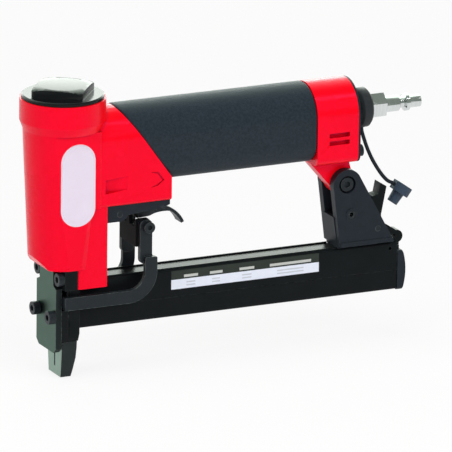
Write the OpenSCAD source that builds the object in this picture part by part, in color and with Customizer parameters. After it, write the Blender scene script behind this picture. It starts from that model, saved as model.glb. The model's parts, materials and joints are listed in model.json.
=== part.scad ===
// Pneumatic upholstery stapler with a nose safety and a bottom loading magazine, in millimetres.
// X runs from the nose towards the air plug, Y runs across the tool and Z is up.
// The origin is on the driver axis, where the staple leaves the contact foot.

/* [Head] */
// Height of the bottom of the head above the work
head_z = 59; // [58.6:0.1:62]
// Height of the head casting, from its bottom to the top of its collar
head_h = 88; // [86:0.5:94]
// Radius of the head at its bottom
head_bottom_r = 17.2; // [16.9:0.1:18.5]
// Radius of the head under its collar
head_top_r = 20.5; // [19.6:0.1:21.5]
// Half distance between the flat sides of the head
head_flat = 17; // [16.8:0.1:18]
// Radius of the collar
collar_r = 22.2; // [21.6:0.1:24]
// Height of the collar's straight band
collar_h = 11.5; // [10:0.5:14]
// Height of the slope under the collar
collar_slope_h = 4.5; // [2:0.5:7]
// Thickness of the floor under the cylinder
head_floor = 7; // [5:0.5:9]
// Half width of the leg that carries the nose
leg_half = 16; // [15.6:0.1:17]
// Length of the leg along X
leg_len = 16.8; // [14:0.2:19]
// Height of the bottom of the leg above the work
leg_z = 48.4; // [48.3:0.1:49.6]

/* [Cylinder] */
// Inner radius of the cylinder sleeve
sleeve_bore_r = 12; // [11:0.1:12.3]
// Wall of the cylinder sleeve
sleeve_wall = 1.6; // [1.5:0.1:1.8]
// Height of the head valve's room, from the sleeve to the top of the head
valve_room = 16; // [15:0.2:18]
// Height of the bumper ring
bumper_h = 6; // [4:0.5:6.5]
// Height of the piston
piston_h = 11.6; // [9:0.2:11.8]
// Width of the driver blade, as the crown of the staple
blade_w = 9.2; // [8.6:0.1:9.4]
// Thickness of the driver blade
blade_t = 1.2; // [0.9:0.1:1.3]
// Travel of the head valve
valve_lift = 4; // [2.5:0.5:5]

/* [Cap] */
// Radius of the cap's flange
cap_r = 21.3; // [19:0.1:22]
// Height of the cap's flange
cap_flange_h = 2; // [1.5:0.1:3]
// Width across the flats of the square boss
cap_square = 27; // [24:0.5:28]
// Height of the square boss above the flange
cap_boss_h = 4.4; // [3.6:0.1:6]
// Turn of the boss about the head's axis
cap_turn = 51; // [0:1:90]

/* [Handle] */
// Distance of the handle's axis below the top of the head
handle_below = 23.8; // [23:0.2:26]
// Outer radius of the grip sleeve
grip_r = 17; // [16.4:0.1:18]
// Distance from the handle's axis down to the bottom of the grip
grip_drop = 23.4; // [22:0.1:24]
// Wall of the grip sleeve
grip_wall = 2; // [1.5:0.1:2.6]
// Radius of the grip's lower corners
grip_corner = 11; // [8:0.5:12]
// Distance of the rear end of the grip from the driver axis
grip_rear_x = 136; // [124:1:137]
// Slope of the seam between the casting and the grip, from upright
seam_angle = 36; // [30:1:42]
// Place of the seam on the handle's axis
seam_x = 39.2; // [37:0.2:42]
// Radius of the air chamber in the handle
chamber_r = 10.4; // [8:0.1:11]
// Distance of the trigger shelf below the handle's axis
shelf_below = 32.8; // [31.2:0.1:33.8]
// Distance of the rear end of the shelf from the driver axis
shelf_rear_x = 54; // [53.4:0.2:57]

/* [Handle end] */
// Length of the end casting
end_len = 23.3; // [22:0.1:26]
// Distance from the handle's axis down to the bottom of the end casting
end_drop = 24.8; // [24.4:0.1:26]
// Width of the lug that holds the magazine bracket
lug_w = 9.8; // [8:0.2:10]
// Thickness of the rear plate
plate_t = 1.2; // [1:0.1:2.5]
// Height of each exhaust slot
slot_h = 2.4; // [1.6:0.1:2.8]
// Length of each exhaust slot
slot_len = 11.6; // [8:0.2:13]

/* [Air inlet] */
// Distance of the inlet's axis below the handle's axis
inlet_below = 0.4; // [0:0.1:1.6]
// Radius of the inlet bush's collar
bush_r = 9.2; // [8.8:0.1:11]
// Length of the inlet bush's collar
bush_len = 4.7; // [3:0.1:6]
// Outer radius of the tether ring
ring_r = 10.3; // [9.6:0.1:11.5]
// Length of the tether ring along the inlet
ring_len = 6.4; // [5:0.2:8]
// Width of the plug's hexagon across its flats
hex_af = 12; // [11:0.5:13]
// Length of the plug's hexagon
hex_len = 8.8; // [7:0.2:10]
// Radius of the plug's tip
tip_r = 3.2; // [3:0.05:3.6]
// Length of the plug's tip
tip_len = 6; // [5:0.5:8]
// Radius of the air passage in the plug
air_r = 2; // [1.5:0.1:2.4]

/* [Nose] */
// Half width of the driver guide and the front plate
nose_half = 12; // [11.8:0.1:12.3]
// Distance of the guide's front face from the driver axis
guide_front = 5.1; // [5.1:0.1:5.6]
// Distance of the guide's rear face from the driver axis
guide_rear = 5; // [4.6:0.1:5]
// Height of the bottom of the guide above the work
guide_z = 19.5; // [18:0.2:20.4]
// Thickness of the front plate
front_t = 3.3; // [2.4:0.1:4]
// Height of the bottom of the front plate above the work
front_z = 14.2; // [12:0.2:17]
// Height of the two front plate screws above the work
front_screw_z = 33.4; // [29:0.2:34]
// Distance of the front plate screws from the middle
front_screw_y = 9.5; // [9.4:0.05:9.7]
// Radius of a cap screw's head
screw_head_r = 3.5; // [3:0.1:3.6]
// Height of a cap screw's head
screw_head_h = 3.8; // [3:0.1:4]

/* [Safety] */
// Travel of the contact foot
foot_travel = 3.5; // [2.5:0.1:3.6]
// Half width of the contact foot at its bottom
foot_bottom_half = 7.5; // [7:0.1:8.5]
// Half width of the contact foot at its top
foot_top_half = 9.4; // [8:0.1:9.5]
// Height of a safety arm's flat bar
arm_h = 6.8; // [5.5:0.1:6.9]
// Thickness of a safety arm's flat bar
arm_t = 2.5; // [2:0.1:3]
// Inner radius of a safety arm's bend
arm_bend_r = 9; // [6:0.5:11]
// Height of the bottom of the safety arms above the work
arm_z = 37.5; // [37:0.1:37.6]
// Distance of an arm's upright rear edge from the driver axis
arm_rear_x = 47; // [46:0.2:48.6]

/* [Trigger] */
// Distance of the trigger's pin from the driver axis
trigger_pin_x = 26; // [25.6:0.1:27]
// Distance of the trigger's pin below the shelf
trigger_pin_drop = 5; // [4.9:0.1:5.4]
// Thickness of the trigger blade
trigger_t = 1.7; // [1.5:0.1:2.1]
// Half width of the trigger
trigger_half = 5.6; // [5.4:0.1:6.4]
// Half width of the trigger's curved tail
trigger_tail_half = 3.8; // [3:0.1:5]
// Radius of the trigger's curved tail
trigger_bend_r = 17.5; // [14:0.5:20]
// Sweep of the trigger's curved tail
trigger_bend_angle = 66; // [50:1:74]
// Distance of the air valve from the driver axis
valve_x = 41; // [40.4:0.1:41.2]
// Radius of the air valve's body
valve_r = 5.4; // [5:0.05:5.4]

/* [Magazine] */
// Width of the magazine housing
mag_w = 13; // [12.8:0.1:13.4]
// Height of the top of the magazine above the work
mag_top_z = 50.3; // [50.2:0.1:50.8]
// Height of the split between the housing and the rail above the work
mag_split_z = 35.2; // [34.6:0.1:35.6]
// Height of the bottom of the magazine above the work
mag_bottom_z = 24.5; // [24.2:0.1:26]
// Length of the housing behind the bracket bolt
mag_behind = 30.4; // [29.4:0.2:31.6]
// Thickness of the housing's side walls
mag_wall = 1.6; // [1.5:0.05:1.7]
// Thickness of the housing's roof
mag_roof = 1.9; // [1.8:0.05:2]
// Thickness of the rail's end cap
end_cap_t = 4.6; // [4:0.1:6]
// Length of the pusher
pusher_len = 14; // [12:0.5:20]

/* [Rear bracket] */
// Half width of the bracket
bracket_half = 9.6; // [9.4:0.1:10.5]
// Radius of the bracket's rounded top
bracket_top_r = 8; // [7.6:0.1:9]
// Distance of the bracket bolt behind the grip
bolt_back = 20.8; // [19.6:0.2:21.4]
// Distance of the bracket bolt below the handle's axis
bolt_below = 38.2; // [36.8:0.2:39.2]
// Radius of the bracket bolt's shank
bolt_r = 2.45; // [2:0.05:3]
// Distance of the latch's pin from the rear end of the housing
latch_in = 12.6; // [12:0.1:13.4]
// Height of the latch's pin above the work
latch_z = 59.6; // [58.8:0.1:60.4]
// Height of the latch's thumb end above its pin
latch_thumb_h = 22.4; // [18:0.2:24]
// Half width of the latch
latch_half = 3.4; // [2.6:0.1:4.2]

/* [Hidden] */
$fn = 64;

// Clearances
fit = 0.05;
gap = 0.2;
rest_gap = 0.3;
cut = 1;

// Colours
red = "#d8102a";
black = "#1b1c1e";
steel = "#9a9da0";
brass = "#b08d4a";
rubber = "#26282a";
amber = "#c79a3a";

// Shared sizes of small fasteners
screw_r = 1.95;
screw_clear_r = 2.15;
small_screw_r = 1.45;
small_head_r = 2.8;

// Head and cylinder
head_top_z = head_z + head_h;
collar_z = head_top_z - collar_h;
floor_z = head_z + head_floor;
flange_r = sleeve_bore_r + sleeve_wall + 1.5;
bore_r = flange_r + fit;
sleeve_z = floor_z + bumper_h;
sleeve_top_z = head_top_z - valve_room;
piston_z = sleeve_top_z - piston_h - 2.5;
stroke = piston_z - sleeve_z - rest_gap;
piston_r = sleeve_bore_r - 0.06;
blade_tip_z = piston_z + 8 - blade_len();
cap_bore_r = bore_r + 2.3;
cap_skirt_r = cap_bore_r - fit;
cap_inner_r = bore_r - fit;
cap_skirt_z = sleeve_top_z + 3;
cap_cavity_z = head_top_z + cap_flange_h - 1.6;
head_valve_z = sleeve_top_z + gap;
// The head valve's rim meets the cap's ceiling at the end of its travel
head_valve_h = cap_cavity_z - gap - valve_lift - head_valve_z;
head_valve_r = cap_inner_r - 0.06;
ring_groove_h = 2.2;
// The blade's tip waits just above the crown of the first staple
function blade_len() = piston_z + 8 - (mag_top_z - 1.7);

// Handle
handle_z = head_top_z - handle_below;
shelf_z = handle_z - shelf_below;
inlet_z = handle_z - inlet_below;
core_r = grip_r - grip_wall - gap / 2;
core_drop = grip_drop - grip_wall - gap / 2;
core_corner = grip_corner - grip_wall;
neck_r = grip_r - 0.4;
spigot_r = 12.4;
spigot_len = 6;
end_rear_x = grip_rear_x + end_len;
plate_rear_x = end_rear_x + plate_t;
end_screw_y = grip_r - 4.4;
end_head_h = 2.6;
end_screw_z = handle_z - 19.4;
inlet_r = 6.2;
ring_x = plate_rear_x + bush_len;
plug_x = ring_x + ring_len + gap;
hex_end_x = plug_x + hex_len;
tip_x = hex_end_x + 15;
function seam_at(z) = seam_x + (handle_z - z) * tan(seam_angle);
seam_foot_z = handle_z - (shelf_rear_x - seam_x) / tan(seam_angle);

// Nose and safety
leg_x = 2;
leg_rear_x = leg_x + leg_len;
channel_half_t = blade_t / 2 + 0.15;
channel_half_w = blade_w / 2 + gap;
front_x = -guide_front - front_t;
nose_screw_y = leg_half - 3.4;
nose_screw_z = head_z - 5;
nose_head_h = 3.2;
pocket_back = -2.2;
pocket_half = 7.2;
foot_front = -3.5;
foot_floor = 3;
foot_top_z = guide_z - rest_gap;
tip_half_t = 1.6;
tip_half_w = channel_half_w + 1.1;
guide_tip_z = foot_floor + foot_travel + rest_gap;
tongue_top_z = arm_z + arm_h + 1;
tab_z = arm_z + 1;
tab_h = arm_h - 1.8;
arm_inner_y = nose_half + 0.6;
arm_outer_y = arm_inner_y + arm_t;
arm_x = arm_rear_x - arm_h;
arm_bend_top_z = arm_z + arm_h + arm_bend_r;
link_inner_y = arm_inner_y - arm_t;
link_x = arm_x - 2;
link_top_z = shelf_z - 10.2;
link_len = 23.2;
link_z = link_top_z - link_len;
arm_top_z = max(link_z + 4, arm_bend_top_z + 1);
link_screw_x = link_x + 4.2;
link_screw_z = link_top_z - 3.6;
bridge_inner_y = link_inner_y - 2.5;

// Trigger and air valve
trigger_z = shelf_z - trigger_pin_drop;
trigger_pin_r = 1.6;
trigger_hub_r = 3;
blade_top_z = trigger_z - 0.8;
trigger_tail_x = 51;
housing_half = leg_half - 1.5;
channel_half = trigger_half + 0.8;
trip_pin_x = 49;
trip_pin_z = blade_top_z + 2;
trip_pin_r = 1;
trip_z = blade_top_z + rest_gap;
trip_t = 1.3;
trip_half = 3.5;
stem_r = 1.8;
stem_z = trip_z + trip_t + 1.3;
valve_h = 15;
valve_top_z = shelf_z + valve_h;

// Magazine
bolt_x = grip_rear_x + bolt_back;
bolt_z = handle_z - bolt_below;
mag_rear_x = bolt_x + mag_behind;
mag_half = mag_w / 2;
mag_inner_half = mag_half - mag_wall;
mag_roof_z = mag_top_z - mag_roof;
mag_front_x = guide_rear + gap;
rail_half = mag_half - 0.2;
rail_top_z = mag_split_z - gap;
tongue_half = mag_inner_half - 1;
tongue_z = mag_roof_z - 1.2;
tongue_front_x = 1.5;
rail_rear_x = mag_rear_x + gap;
leg_slot_z = rail_top_z - 4;
spring_z = (tongue_z + rail_top_z) / 2;
spring_bore_r = 2.7;
rod_r = 1.1;
pusher_x = 2;
end_cap_top_z = mag_top_z - 5;

// Bracket and latch
plate_z = mag_top_z + 1.4;
bracket_wall = bracket_half - lug_w / 2 - gap;
bracket_inner = bracket_half - bracket_wall;
bracket_pin_x = bolt_x + 2.6;
// The cross pin sits half way up the bracket
bracket_pin_z = plate_z + (bolt_z - plate_z) * 0.51;
bracket_base_z = mag_top_z + 3.6;
latch_x = mag_rear_x - latch_in;
bracket_rear_x = latch_x + 9.4;
latch_hub_r = 3.6;
lobe_r = 3.4;
lobe_x = mag_rear_x + 1.2;
lobe_z = mag_top_z + 1.8;

// Route of the tether strap below its ring, and the dust plug that hangs on it
strap_r = 1;
strap_top = [ring_x + ring_len / 2 + 0.4, 0, inlet_z - ring_r - 0.1];
plug_pos = strap_top + [23.2, 0, -35.8];
plug_tilt = 36;
plug_flat = 4.7;
plug_side = [-cos(plug_tilt), 0, sin(plug_tilt)];
strap_end = plug_pos + (plug_flat + 0.02) * plug_side;
strap_offsets = [
    [0, 0, 0], [0.3, 0, -2.4], [1.2, 0, -5.4], [2.3, 0, -8.6], [3.5, 0, -11.8], [5, 0, -15.2],
    [6.8, 0, -18.8], [8.8, 0, -22.2], [10.9, 0, -25.4], [13.2, 0, -28.4], [15.7, 0, -30.9]
];
strap_route = concat([for (o = strap_offsets) strap_top + o], [strap_end + 1.6 * plug_side, strap_end]);

// Helper forms

// Carries a Y and Z outline along X
module along_x(x0, x1) translate([x0, 0, 0]) rotate([90, 0, 90]) linear_extrude(x1 - x0) children();

// Carries an X and Z outline along Y
module along_y(y0, y1) translate([0, y1, 0]) rotate([90, 0, 0]) linear_extrude(y1 - y0) children();

module rod_x(r, x0, x1, y, z) translate([x0, y, z]) rotate([0, 90, 0]) cylinder(r = r, h = x1 - x0);

module rod_y(r, y0, y1, x, z) translate([x, y1, z]) rotate([90, 0, 0]) cylinder(r = r, h = y1 - y0);

module rod_z(r, z0, z1, x, y) translate([x, y, z0]) cylinder(r = r, h = z1 - z0);

module block(low, high) translate(low) cube(high - low);

// A rectangle from corner to corner with rounded corners
module round_box(low, high, r) {
    translate([low[0] + r, low[1]]) square([high[0] - low[0] - 2 * r, high[1] - low[1]]);
    translate([low[0], low[1] + r]) square([high[0] - low[0], high[1] - low[1] - 2 * r]);
    for (x = [low[0] + r, high[0] - r], y = [low[1] + r, high[1] - r]) translate([x, y]) circle(r);
}

// The handle's section: a half round top, flat sides and a rounded bottom
module arch(r, drop, corner) {
    translate([0, handle_z]) circle(r);
    translate([-r, handle_z - drop + corner]) square([2 * r, drop - corner]);
    translate([corner - r, handle_z - drop]) square([2 * (r - corner), corner]);
    for (side = [-1, 1]) translate([side * (r - corner), handle_z - drop + corner]) circle(corner);
}

// A round sealing ring about the Z axis
module ring_z(major, minor, z) translate([0, 0, z]) rotate_extrude() translate([major, 0])
    circle(minor, $fn = 24);

// A cap screw along X: the head's top faces the nose, and its shank ends at x1
module cap_screw_x(x_seat, x1, y, z, r, head_r, head_h) {
    difference() {
        rod_x(head_r, x_seat - head_h, x_seat, y, z);
        translate([x_seat - head_h - cut, y, z]) rotate([0, 90, 0])
            cylinder(r = head_r * 0.5, h = cut + head_h * 0.55, $fn = 6);
    }
    rod_x(r, x_seat - 0.1, x1, y, z);
}

// A tube with flat ends, swept along a list of points with triangles
function unit(v) = v / norm(v);
function tangent(p, i) = unit(p[min(i + 1, len(p) - 1)] - p[max(i - 1, 0)]);
function tube_points(p, r, sides, up) = [
    for (i = [0 : len(p) - 1])
        let (t = tangent(p, i), u = unit(cross(t, up)), v = cross(u, t))
            for (k = [0 : sides - 1])
                p[i] + r * (cos(360 * k / sides) * u + sin(360 * k / sides) * v)
];
function tube_faces(n, sides) = concat(
    [for (i = [0 : n - 2], k = [0 : sides - 1])
        [i * sides + k, i * sides + (k + 1) % sides, (i + 1) * sides + k]],
    [for (i = [0 : n - 2], k = [0 : sides - 1])
        [i * sides + (k + 1) % sides, (i + 1) * sides + (k + 1) % sides, (i + 1) * sides + k]],
    [for (k = [1 : sides - 2]) [0, k + 1, k]],
    [for (k = [1 : sides - 2]) let (e = (n - 1) * sides) [e, e + k, e + k + 1]]
);
module tube(p, r, sides, up)
    polyhedron(points = tube_points(p, r, sides, up), faces = tube_faces(len(p), sides));

// A coil spring that stands on the XY plane, from its two end heights and its count of turns
coil_steps = 8;
coil_sides = 6;
function coil_path(r, z0, z1, turns) = [
    for (i = [0 : turns * coil_steps])
        let (a = 360 * i / coil_steps, z = z0 + (z1 - z0) * i / (turns * coil_steps))
            [r * cos(a), r * sin(a), z]
];
module coil(r, wire_r, z0, z1, turns)
    tube(coil_path(r, z0 + wire_r, z1 - wire_r, turns), wire_r, coil_sides, [0, 0, 1]);
// Free space between neighbouring turns, measured from point to point one turn apart
function coil_space(r, wire_r, z0, z1, turns) =
    let (p = coil_path(r, z0 + wire_r, z1 - wire_r, turns))
        min([for (i = [0 : len(p) - 1 - coil_steps]) norm(p[i + coil_steps] - p[i])]) - 2 * wire_r;

// Head

// One wedge pocket in the side of the neck, deepest at the head, and the arrow shaped step behind it
pocket_x = leg_rear_x - 2;
pocket_z = shelf_z + 7;
module neck_pocket() intersection() {
    along_y(neck_r - 3.6, neck_r + cut) polygon([[pocket_x, pocket_z], [pocket_x + 12, pocket_z + 1.6],
        [pocket_x + 12.5, pocket_z + 8.6], [pocket_x, pocket_z + 7.6]]);
    translate([0, 0, pocket_z - cut]) linear_extrude(12) polygon([[pocket_x, neck_r - 3.4],
        [pocket_x + 13, neck_r + 0.1], [pocket_x + 13, neck_r + 2 * cut], [pocket_x, neck_r + 2 * cut]]);
}

module neck_arrow() along_y(neck_r - 0.7, neck_r + cut)
    polygon([[seam_x + 3, shelf_z + 8], [seam_x + 7, shelf_z + 8.6], [seam_x + 10.5, shelf_z + 11.4],
        [seam_x + 7, shelf_z + 16], [seam_x + 3, shelf_z + 16], [seam_x + 6.6, shelf_z + 15],
        [seam_x + 9.2, shelf_z + 11.4], [seam_x + 7, shelf_z + 9.8]]);

flat_h = collar_z - collar_slope_h - head_z;
flat_rear_x = leg_rear_x - 4.2;
module head_shell() {
    difference() {
        translate([0, 0, head_z]) cylinder(r1 = head_bottom_r, r2 = head_top_r, h = flat_h, $fn = 96);
        for (m = [0, 1]) mirror([0, m, 0])
            block([-collar_r, head_flat, head_z - cut], [collar_r, collar_r, head_z + flat_h + cut]);
    }
    // Flat sides, carried on towards the neck above the shelf
    translate([0, 0, shelf_z]) linear_extrude(head_z + flat_h - shelf_z)
        round_box([0, -head_flat], [flat_rear_x, head_flat], 1.2);
    translate([0, 0, collar_z - collar_slope_h])
        cylinder(r1 = head_top_r, r2 = collar_r, h = collar_slope_h, $fn = 96);
    translate([0, 0, collar_z]) cylinder(r = collar_r, h = collar_h, $fn = 96);
    translate([0, 0, leg_z]) linear_extrude(shelf_z - leg_z + 4)
        round_box([leg_x, -leg_half], [leg_rear_x, leg_half], 1.2);
    // Neck between the head and the grip, cut by the seam
    intersection() {
        along_x(0, shelf_rear_x) arch(neck_r, handle_z - shelf_z, 2);
        along_y(-neck_r, neck_r) polygon([[0, shelf_z], [shelf_rear_x, shelf_z],
            [shelf_rear_x, seam_foot_z], [seam_at(head_top_z), head_top_z], [0, head_top_z]]);
    }
    // Core of the handle under the grip
    along_x(seam_x - 18, grip_rear_x) arch(core_r, core_drop, core_corner);
    rod_x(spigot_r, grip_rear_x - 0.1, grip_rear_x + spigot_len, 0, handle_z);
}

module head_casting() color(red) difference() {
    head_shell();
    // Sloped front of the head's bottom
    along_y(-collar_r, collar_r)
        polygon([[-11.5, head_z - cut], [-head_top_r, head_z + 9.5], [-head_top_r, head_z - cut]]);
    // Cylinder, cap thread and the blade's way through the floor
    rod_z(bore_r, floor_z, head_top_z + cut, 0, 0);
    rod_z(cap_bore_r, cap_skirt_z - gap, head_top_z + cut, 0, 0);
    block([-channel_half_t, -channel_half_w, head_z - cut], [channel_half_t, channel_half_w, floor_z + cut]);
    // Air chamber of the handle
    rod_x(chamber_r, 24, grip_rear_x + spigot_len + cut, 0, handle_z);
    rod_x(chamber_r - 3, 8, 25, 0, handle_z);
    // Air valve
    rod_z(valve_r + fit, shelf_z - cut, valve_top_z + gap, valve_x, 0);
    rod_z(2.4, valve_top_z, handle_z, valve_x, 0);
    // Room for the trigger's rear ears
    block([trip_pin_x - 2.6, -channel_half, shelf_z - cut], [trip_pin_x + 2.6, channel_half, shelf_z + 2.2]);
    // Fork for the magazine and holes for the nose screws
    block([leg_x - cut, -mag_half - gap, leg_z - cut], [leg_rear_x + cut, mag_half + gap, mag_top_z + gap]);
    for (side = [-1, 1]) {
        rod_x(screw_r + fit, leg_x - cut, leg_x + 9.4, side * nose_screw_y, nose_screw_z);
        rod_z(small_screw_r + fit, shelf_z - cut, shelf_z + 7, shelf_rear_x - 4.4, side * (housing_half - 3));
    }
    for (m = [0, 1]) mirror([0, m, 0]) {
        neck_pocket();
        neck_arrow();
    }
}

module cylinder_cap() color(black) difference() {
    union() {
        rotate_extrude($fn = 96) polygon([[0, cap_skirt_z], [cap_skirt_r, cap_skirt_z],
            [cap_skirt_r, head_top_z], [cap_r, head_top_z], [cap_r, head_top_z + cap_flange_h - 0.6],
            [cap_r - 0.8, head_top_z + cap_flange_h], [0, head_top_z + cap_flange_h]]);
        // Square boss with a crowned top
        intersection() {
            rotate([0, 0, cap_turn - 90]) translate([0, 0, head_top_z + cap_flange_h - 0.1])
                linear_extrude(cap_boss_h + 0.1) translate([-cap_square / 2, -cap_square / 2])
                    round_box([0, 0], [cap_square, cap_square], 2.5);
            boss_z = head_top_z + cap_flange_h;
            rotate_extrude($fn = 96) polygon([[0, boss_z - 0.1], [cap_square * 0.7, boss_z - 0.1],
                [cap_square * 0.69, boss_z + cap_boss_h - 1.8],
                [cap_square * 0.64, boss_z + cap_boss_h - 0.9],
                [cap_square * 0.56, boss_z + cap_boss_h - 0.3], [cap_square * 0.42, boss_z + cap_boss_h],
                [0, boss_z + cap_boss_h]]);
        }
    }
    rod_z(cap_inner_r, cap_skirt_z - cut, cap_cavity_z, 0, 0);
    // Groove for the cap's seal
    translate([0, 0, head_top_z - 3.6]) rotate_extrude()
        translate([cap_skirt_r - 1.4, 0]) square([3, ring_groove_h]);
}

cap_seal_r = (1.4 + fit) / 2 - 0.04;
module cap_seal() color(rubber)
    ring_z(cap_skirt_r - 1.4 + 0.04 + cap_seal_r, cap_seal_r, head_top_z - 3.6 + ring_groove_h / 2);

// Cylinder and driver

sleeve_groove = flange_r - sleeve_bore_r - 1.3;
sleeve_groove_z = [sleeve_z + 2, sleeve_top_z - 4.4];
module cylinder_sleeve() color(steel) difference() {
    union() {
        rod_z(sleeve_bore_r + sleeve_wall, sleeve_z, sleeve_top_z, 0, 0);
        rod_z(flange_r, sleeve_z, sleeve_z + 6, 0, 0);
        rod_z(flange_r, sleeve_top_z - 7, sleeve_top_z, 0, 0);
    }
    rod_z(sleeve_bore_r, sleeve_z - cut, sleeve_top_z + cut, 0, 0);
    for (z = sleeve_groove_z) translate([0, 0, z]) rotate_extrude()
        translate([flange_r - sleeve_groove, 0]) square([sleeve_groove + 1, ring_groove_h]);
}

sleeve_seal_r = (sleeve_groove + fit) / 2 - 0.04;
module sleeve_seals() color(rubber) for (z = sleeve_groove_z)
    ring_z(flange_r - sleeve_groove + 0.04 + sleeve_seal_r, sleeve_seal_r, z + ring_groove_h / 2);

module bumper() color(amber) difference() {
    rod_z(flange_r, floor_z, sleeve_z, 0, 0);
    rod_z(blade_w / 2 + 1.4, floor_z - cut, sleeve_z + cut, 0, 0);
}

piston_groove = 1.8;
piston_groove_z = piston_z + piston_h - 4;
module piston() color(steel) difference() {
    rod_z(piston_r, piston_z, piston_z + piston_h, 0, 0);
    translate([0, 0, piston_groove_z]) rotate_extrude()
        translate([piston_r - piston_groove, 0]) square([piston_groove + 1, ring_groove_h]);
    block([-blade_t / 2 - 0.02, -blade_w / 2 - 0.02, piston_z - cut],
        [blade_t / 2 + 0.02, blade_w / 2 + 0.02, piston_z + 8.02]);
    rod_x(1.52, -piston_r, piston_r, 0, piston_z + 4);
}

piston_ring_r = (piston_groove + sleeve_bore_r - piston_r) / 2 - 0.04;
module piston_ring() color(rubber)
    ring_z(piston_r - piston_groove + 0.04 + piston_ring_r, piston_ring_r,
        piston_groove_z + ring_groove_h / 2);

module driver_blade() color(steel) difference() {
    block([-blade_t / 2, -blade_w / 2, blade_tip_z], [blade_t / 2, blade_w / 2, piston_z + 8]);
    rod_x(1.52, -cut - blade_t, cut + blade_t, 0, piston_z + 4);
}

module blade_pin() color(steel) rod_x(1.5, 2 - piston_r, piston_r - 2, 0, piston_z + 4);

valve_groove_z = head_valve_z + 5;
module head_valve() color(black) difference() {
    rod_z(head_valve_r, head_valve_z, head_valve_z + head_valve_h, 0, 0);
    rod_z(head_valve_r - 3, head_valve_z + 3.6, head_valve_z + head_valve_h + cut, 0, 0);
    translate([0, 0, valve_groove_z]) rotate_extrude()
        translate([head_valve_r - 1.4, 0]) square([3, ring_groove_h]);
}

valve_seal_r = 1.46 / 2 - 0.04;
module head_valve_seal() color(rubber)
    ring_z(head_valve_r - 1.4 + 0.04 + valve_seal_r, valve_seal_r, valve_groove_z + ring_groove_h / 2);

module head_valve_spring() color(steel)
    coil(8.6, 0.7, head_valve_z + 3.8, cap_cavity_z - gap, 4);

// Handle

module grip_sleeve() color(rubber) intersection() {
    along_x(seam_x - 18, grip_rear_x) difference() {
        arch(grip_r, grip_drop, grip_corner);
        arch(core_r + gap / 2, core_drop + gap / 2, core_corner);
    }
    along_y(-grip_r, grip_r) polygon([[shelf_rear_x, shelf_z], [grip_rear_x, shelf_z],
        [grip_rear_x, head_top_z], [seam_at(head_top_z), head_top_z], [shelf_rear_x, seam_foot_z]]);
}

end_slot_z = [handle_z - 10, handle_z - 14];
module handle_end() color(red) difference() {
    union() {
        along_x(grip_rear_x, end_rear_x) arch(grip_r - 0.1, end_drop, 4);
        // Lug for the magazine bracket, sloped at its front
        along_y(-lug_w / 2, lug_w / 2) {
            polygon([[grip_rear_x + 0.4, handle_z - end_drop + 4],
                [grip_rear_x + 0.4, handle_z - end_drop + 0.6],
                [bolt_x - 6.6, bolt_z - 2.3], [bolt_x + 6.6, bolt_z - 2.3],
                [end_rear_x - gap, handle_z - end_drop - gap], [end_rear_x - gap, handle_z - end_drop + 4]]);
            translate([bolt_x, bolt_z]) circle(7);
        }
    }
    rod_x(spigot_r + fit, grip_rear_x - cut, grip_rear_x + spigot_len + gap, 0, handle_z);
    rod_x(chamber_r - 1.4, grip_rear_x, end_rear_x - 8, 0, handle_z);
    rod_x(inlet_r, grip_rear_x, end_rear_x + cut, 0, inlet_z);
    rod_y(bolt_r + 0.1, -lug_w, lug_w, bolt_x, bolt_z);
    for (side = [-1, 1]) {
        rod_x(small_screw_r + fit, end_rear_x - 9, end_rear_x + cut, side * end_screw_y, end_screw_z);
        for (z = end_slot_z) translate([0, side * (grip_r - 1.4), 0])
            along_y(-1.6, 1.6) round_box([end_rear_x - 5 - slot_len, z], [end_rear_x - 5, z + slot_h], 0.7);
    }
    // Groove for the seal on the handle's spigot
    translate([grip_rear_x + 2, 0, handle_z]) rotate([0, 90, 0]) rotate_extrude()
        translate([spigot_r, 0]) square([1.2, 1.8]);
}

module handle_end_seal() color(rubber) translate([grip_rear_x + 2.9, 0, handle_z]) rotate([0, 90, 0])
    rotate_extrude() translate([spigot_r + 0.62, 0]) circle(0.56, $fn = 24);

module end_plate() color(black) difference() {
    along_x(end_rear_x, plate_rear_x) arch(grip_r - 0.1, end_drop, 4);
    rod_x(inlet_r + 0.1, end_rear_x - cut, plate_rear_x + cut, 0, inlet_z);
    for (side = [-1, 1])
        rod_x(small_screw_r + gap, end_rear_x - cut, plate_rear_x + cut, side * end_screw_y, end_screw_z);
}

module end_plate_screws() color(black) for (side = [-1, 1])
    translate([plate_rear_x, side * end_screw_y, end_screw_z]) mirror([1, 0, 0])
        cap_screw_x(0, plate_t + 8, 0, 0, small_screw_r, 3.1, end_head_h);

module inlet_bush() color(black) difference() {
    union() {
        rod_x(inlet_r - fit, end_rear_x - 7, plate_rear_x + 0.1, 0, inlet_z);
        rod_x(bush_r, plate_rear_x, ring_x, 0, inlet_z);
        rod_x(7, ring_x - 0.1, plug_x, 0, inlet_z);
    }
    rod_x(4.6, end_rear_x - 8, plug_x + cut, 0, inlet_z);
    // Knurl on the collar
    for (k = [0 : 17]) translate([plate_rear_x - cut, 0, inlet_z]) rotate([20 * k, 0, 0])
        translate([0, 0, bush_r]) rotate([45, 0, 0]) translate([0, -0.5, -0.5]) cube([bush_len, 1, 1]);
}

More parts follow.
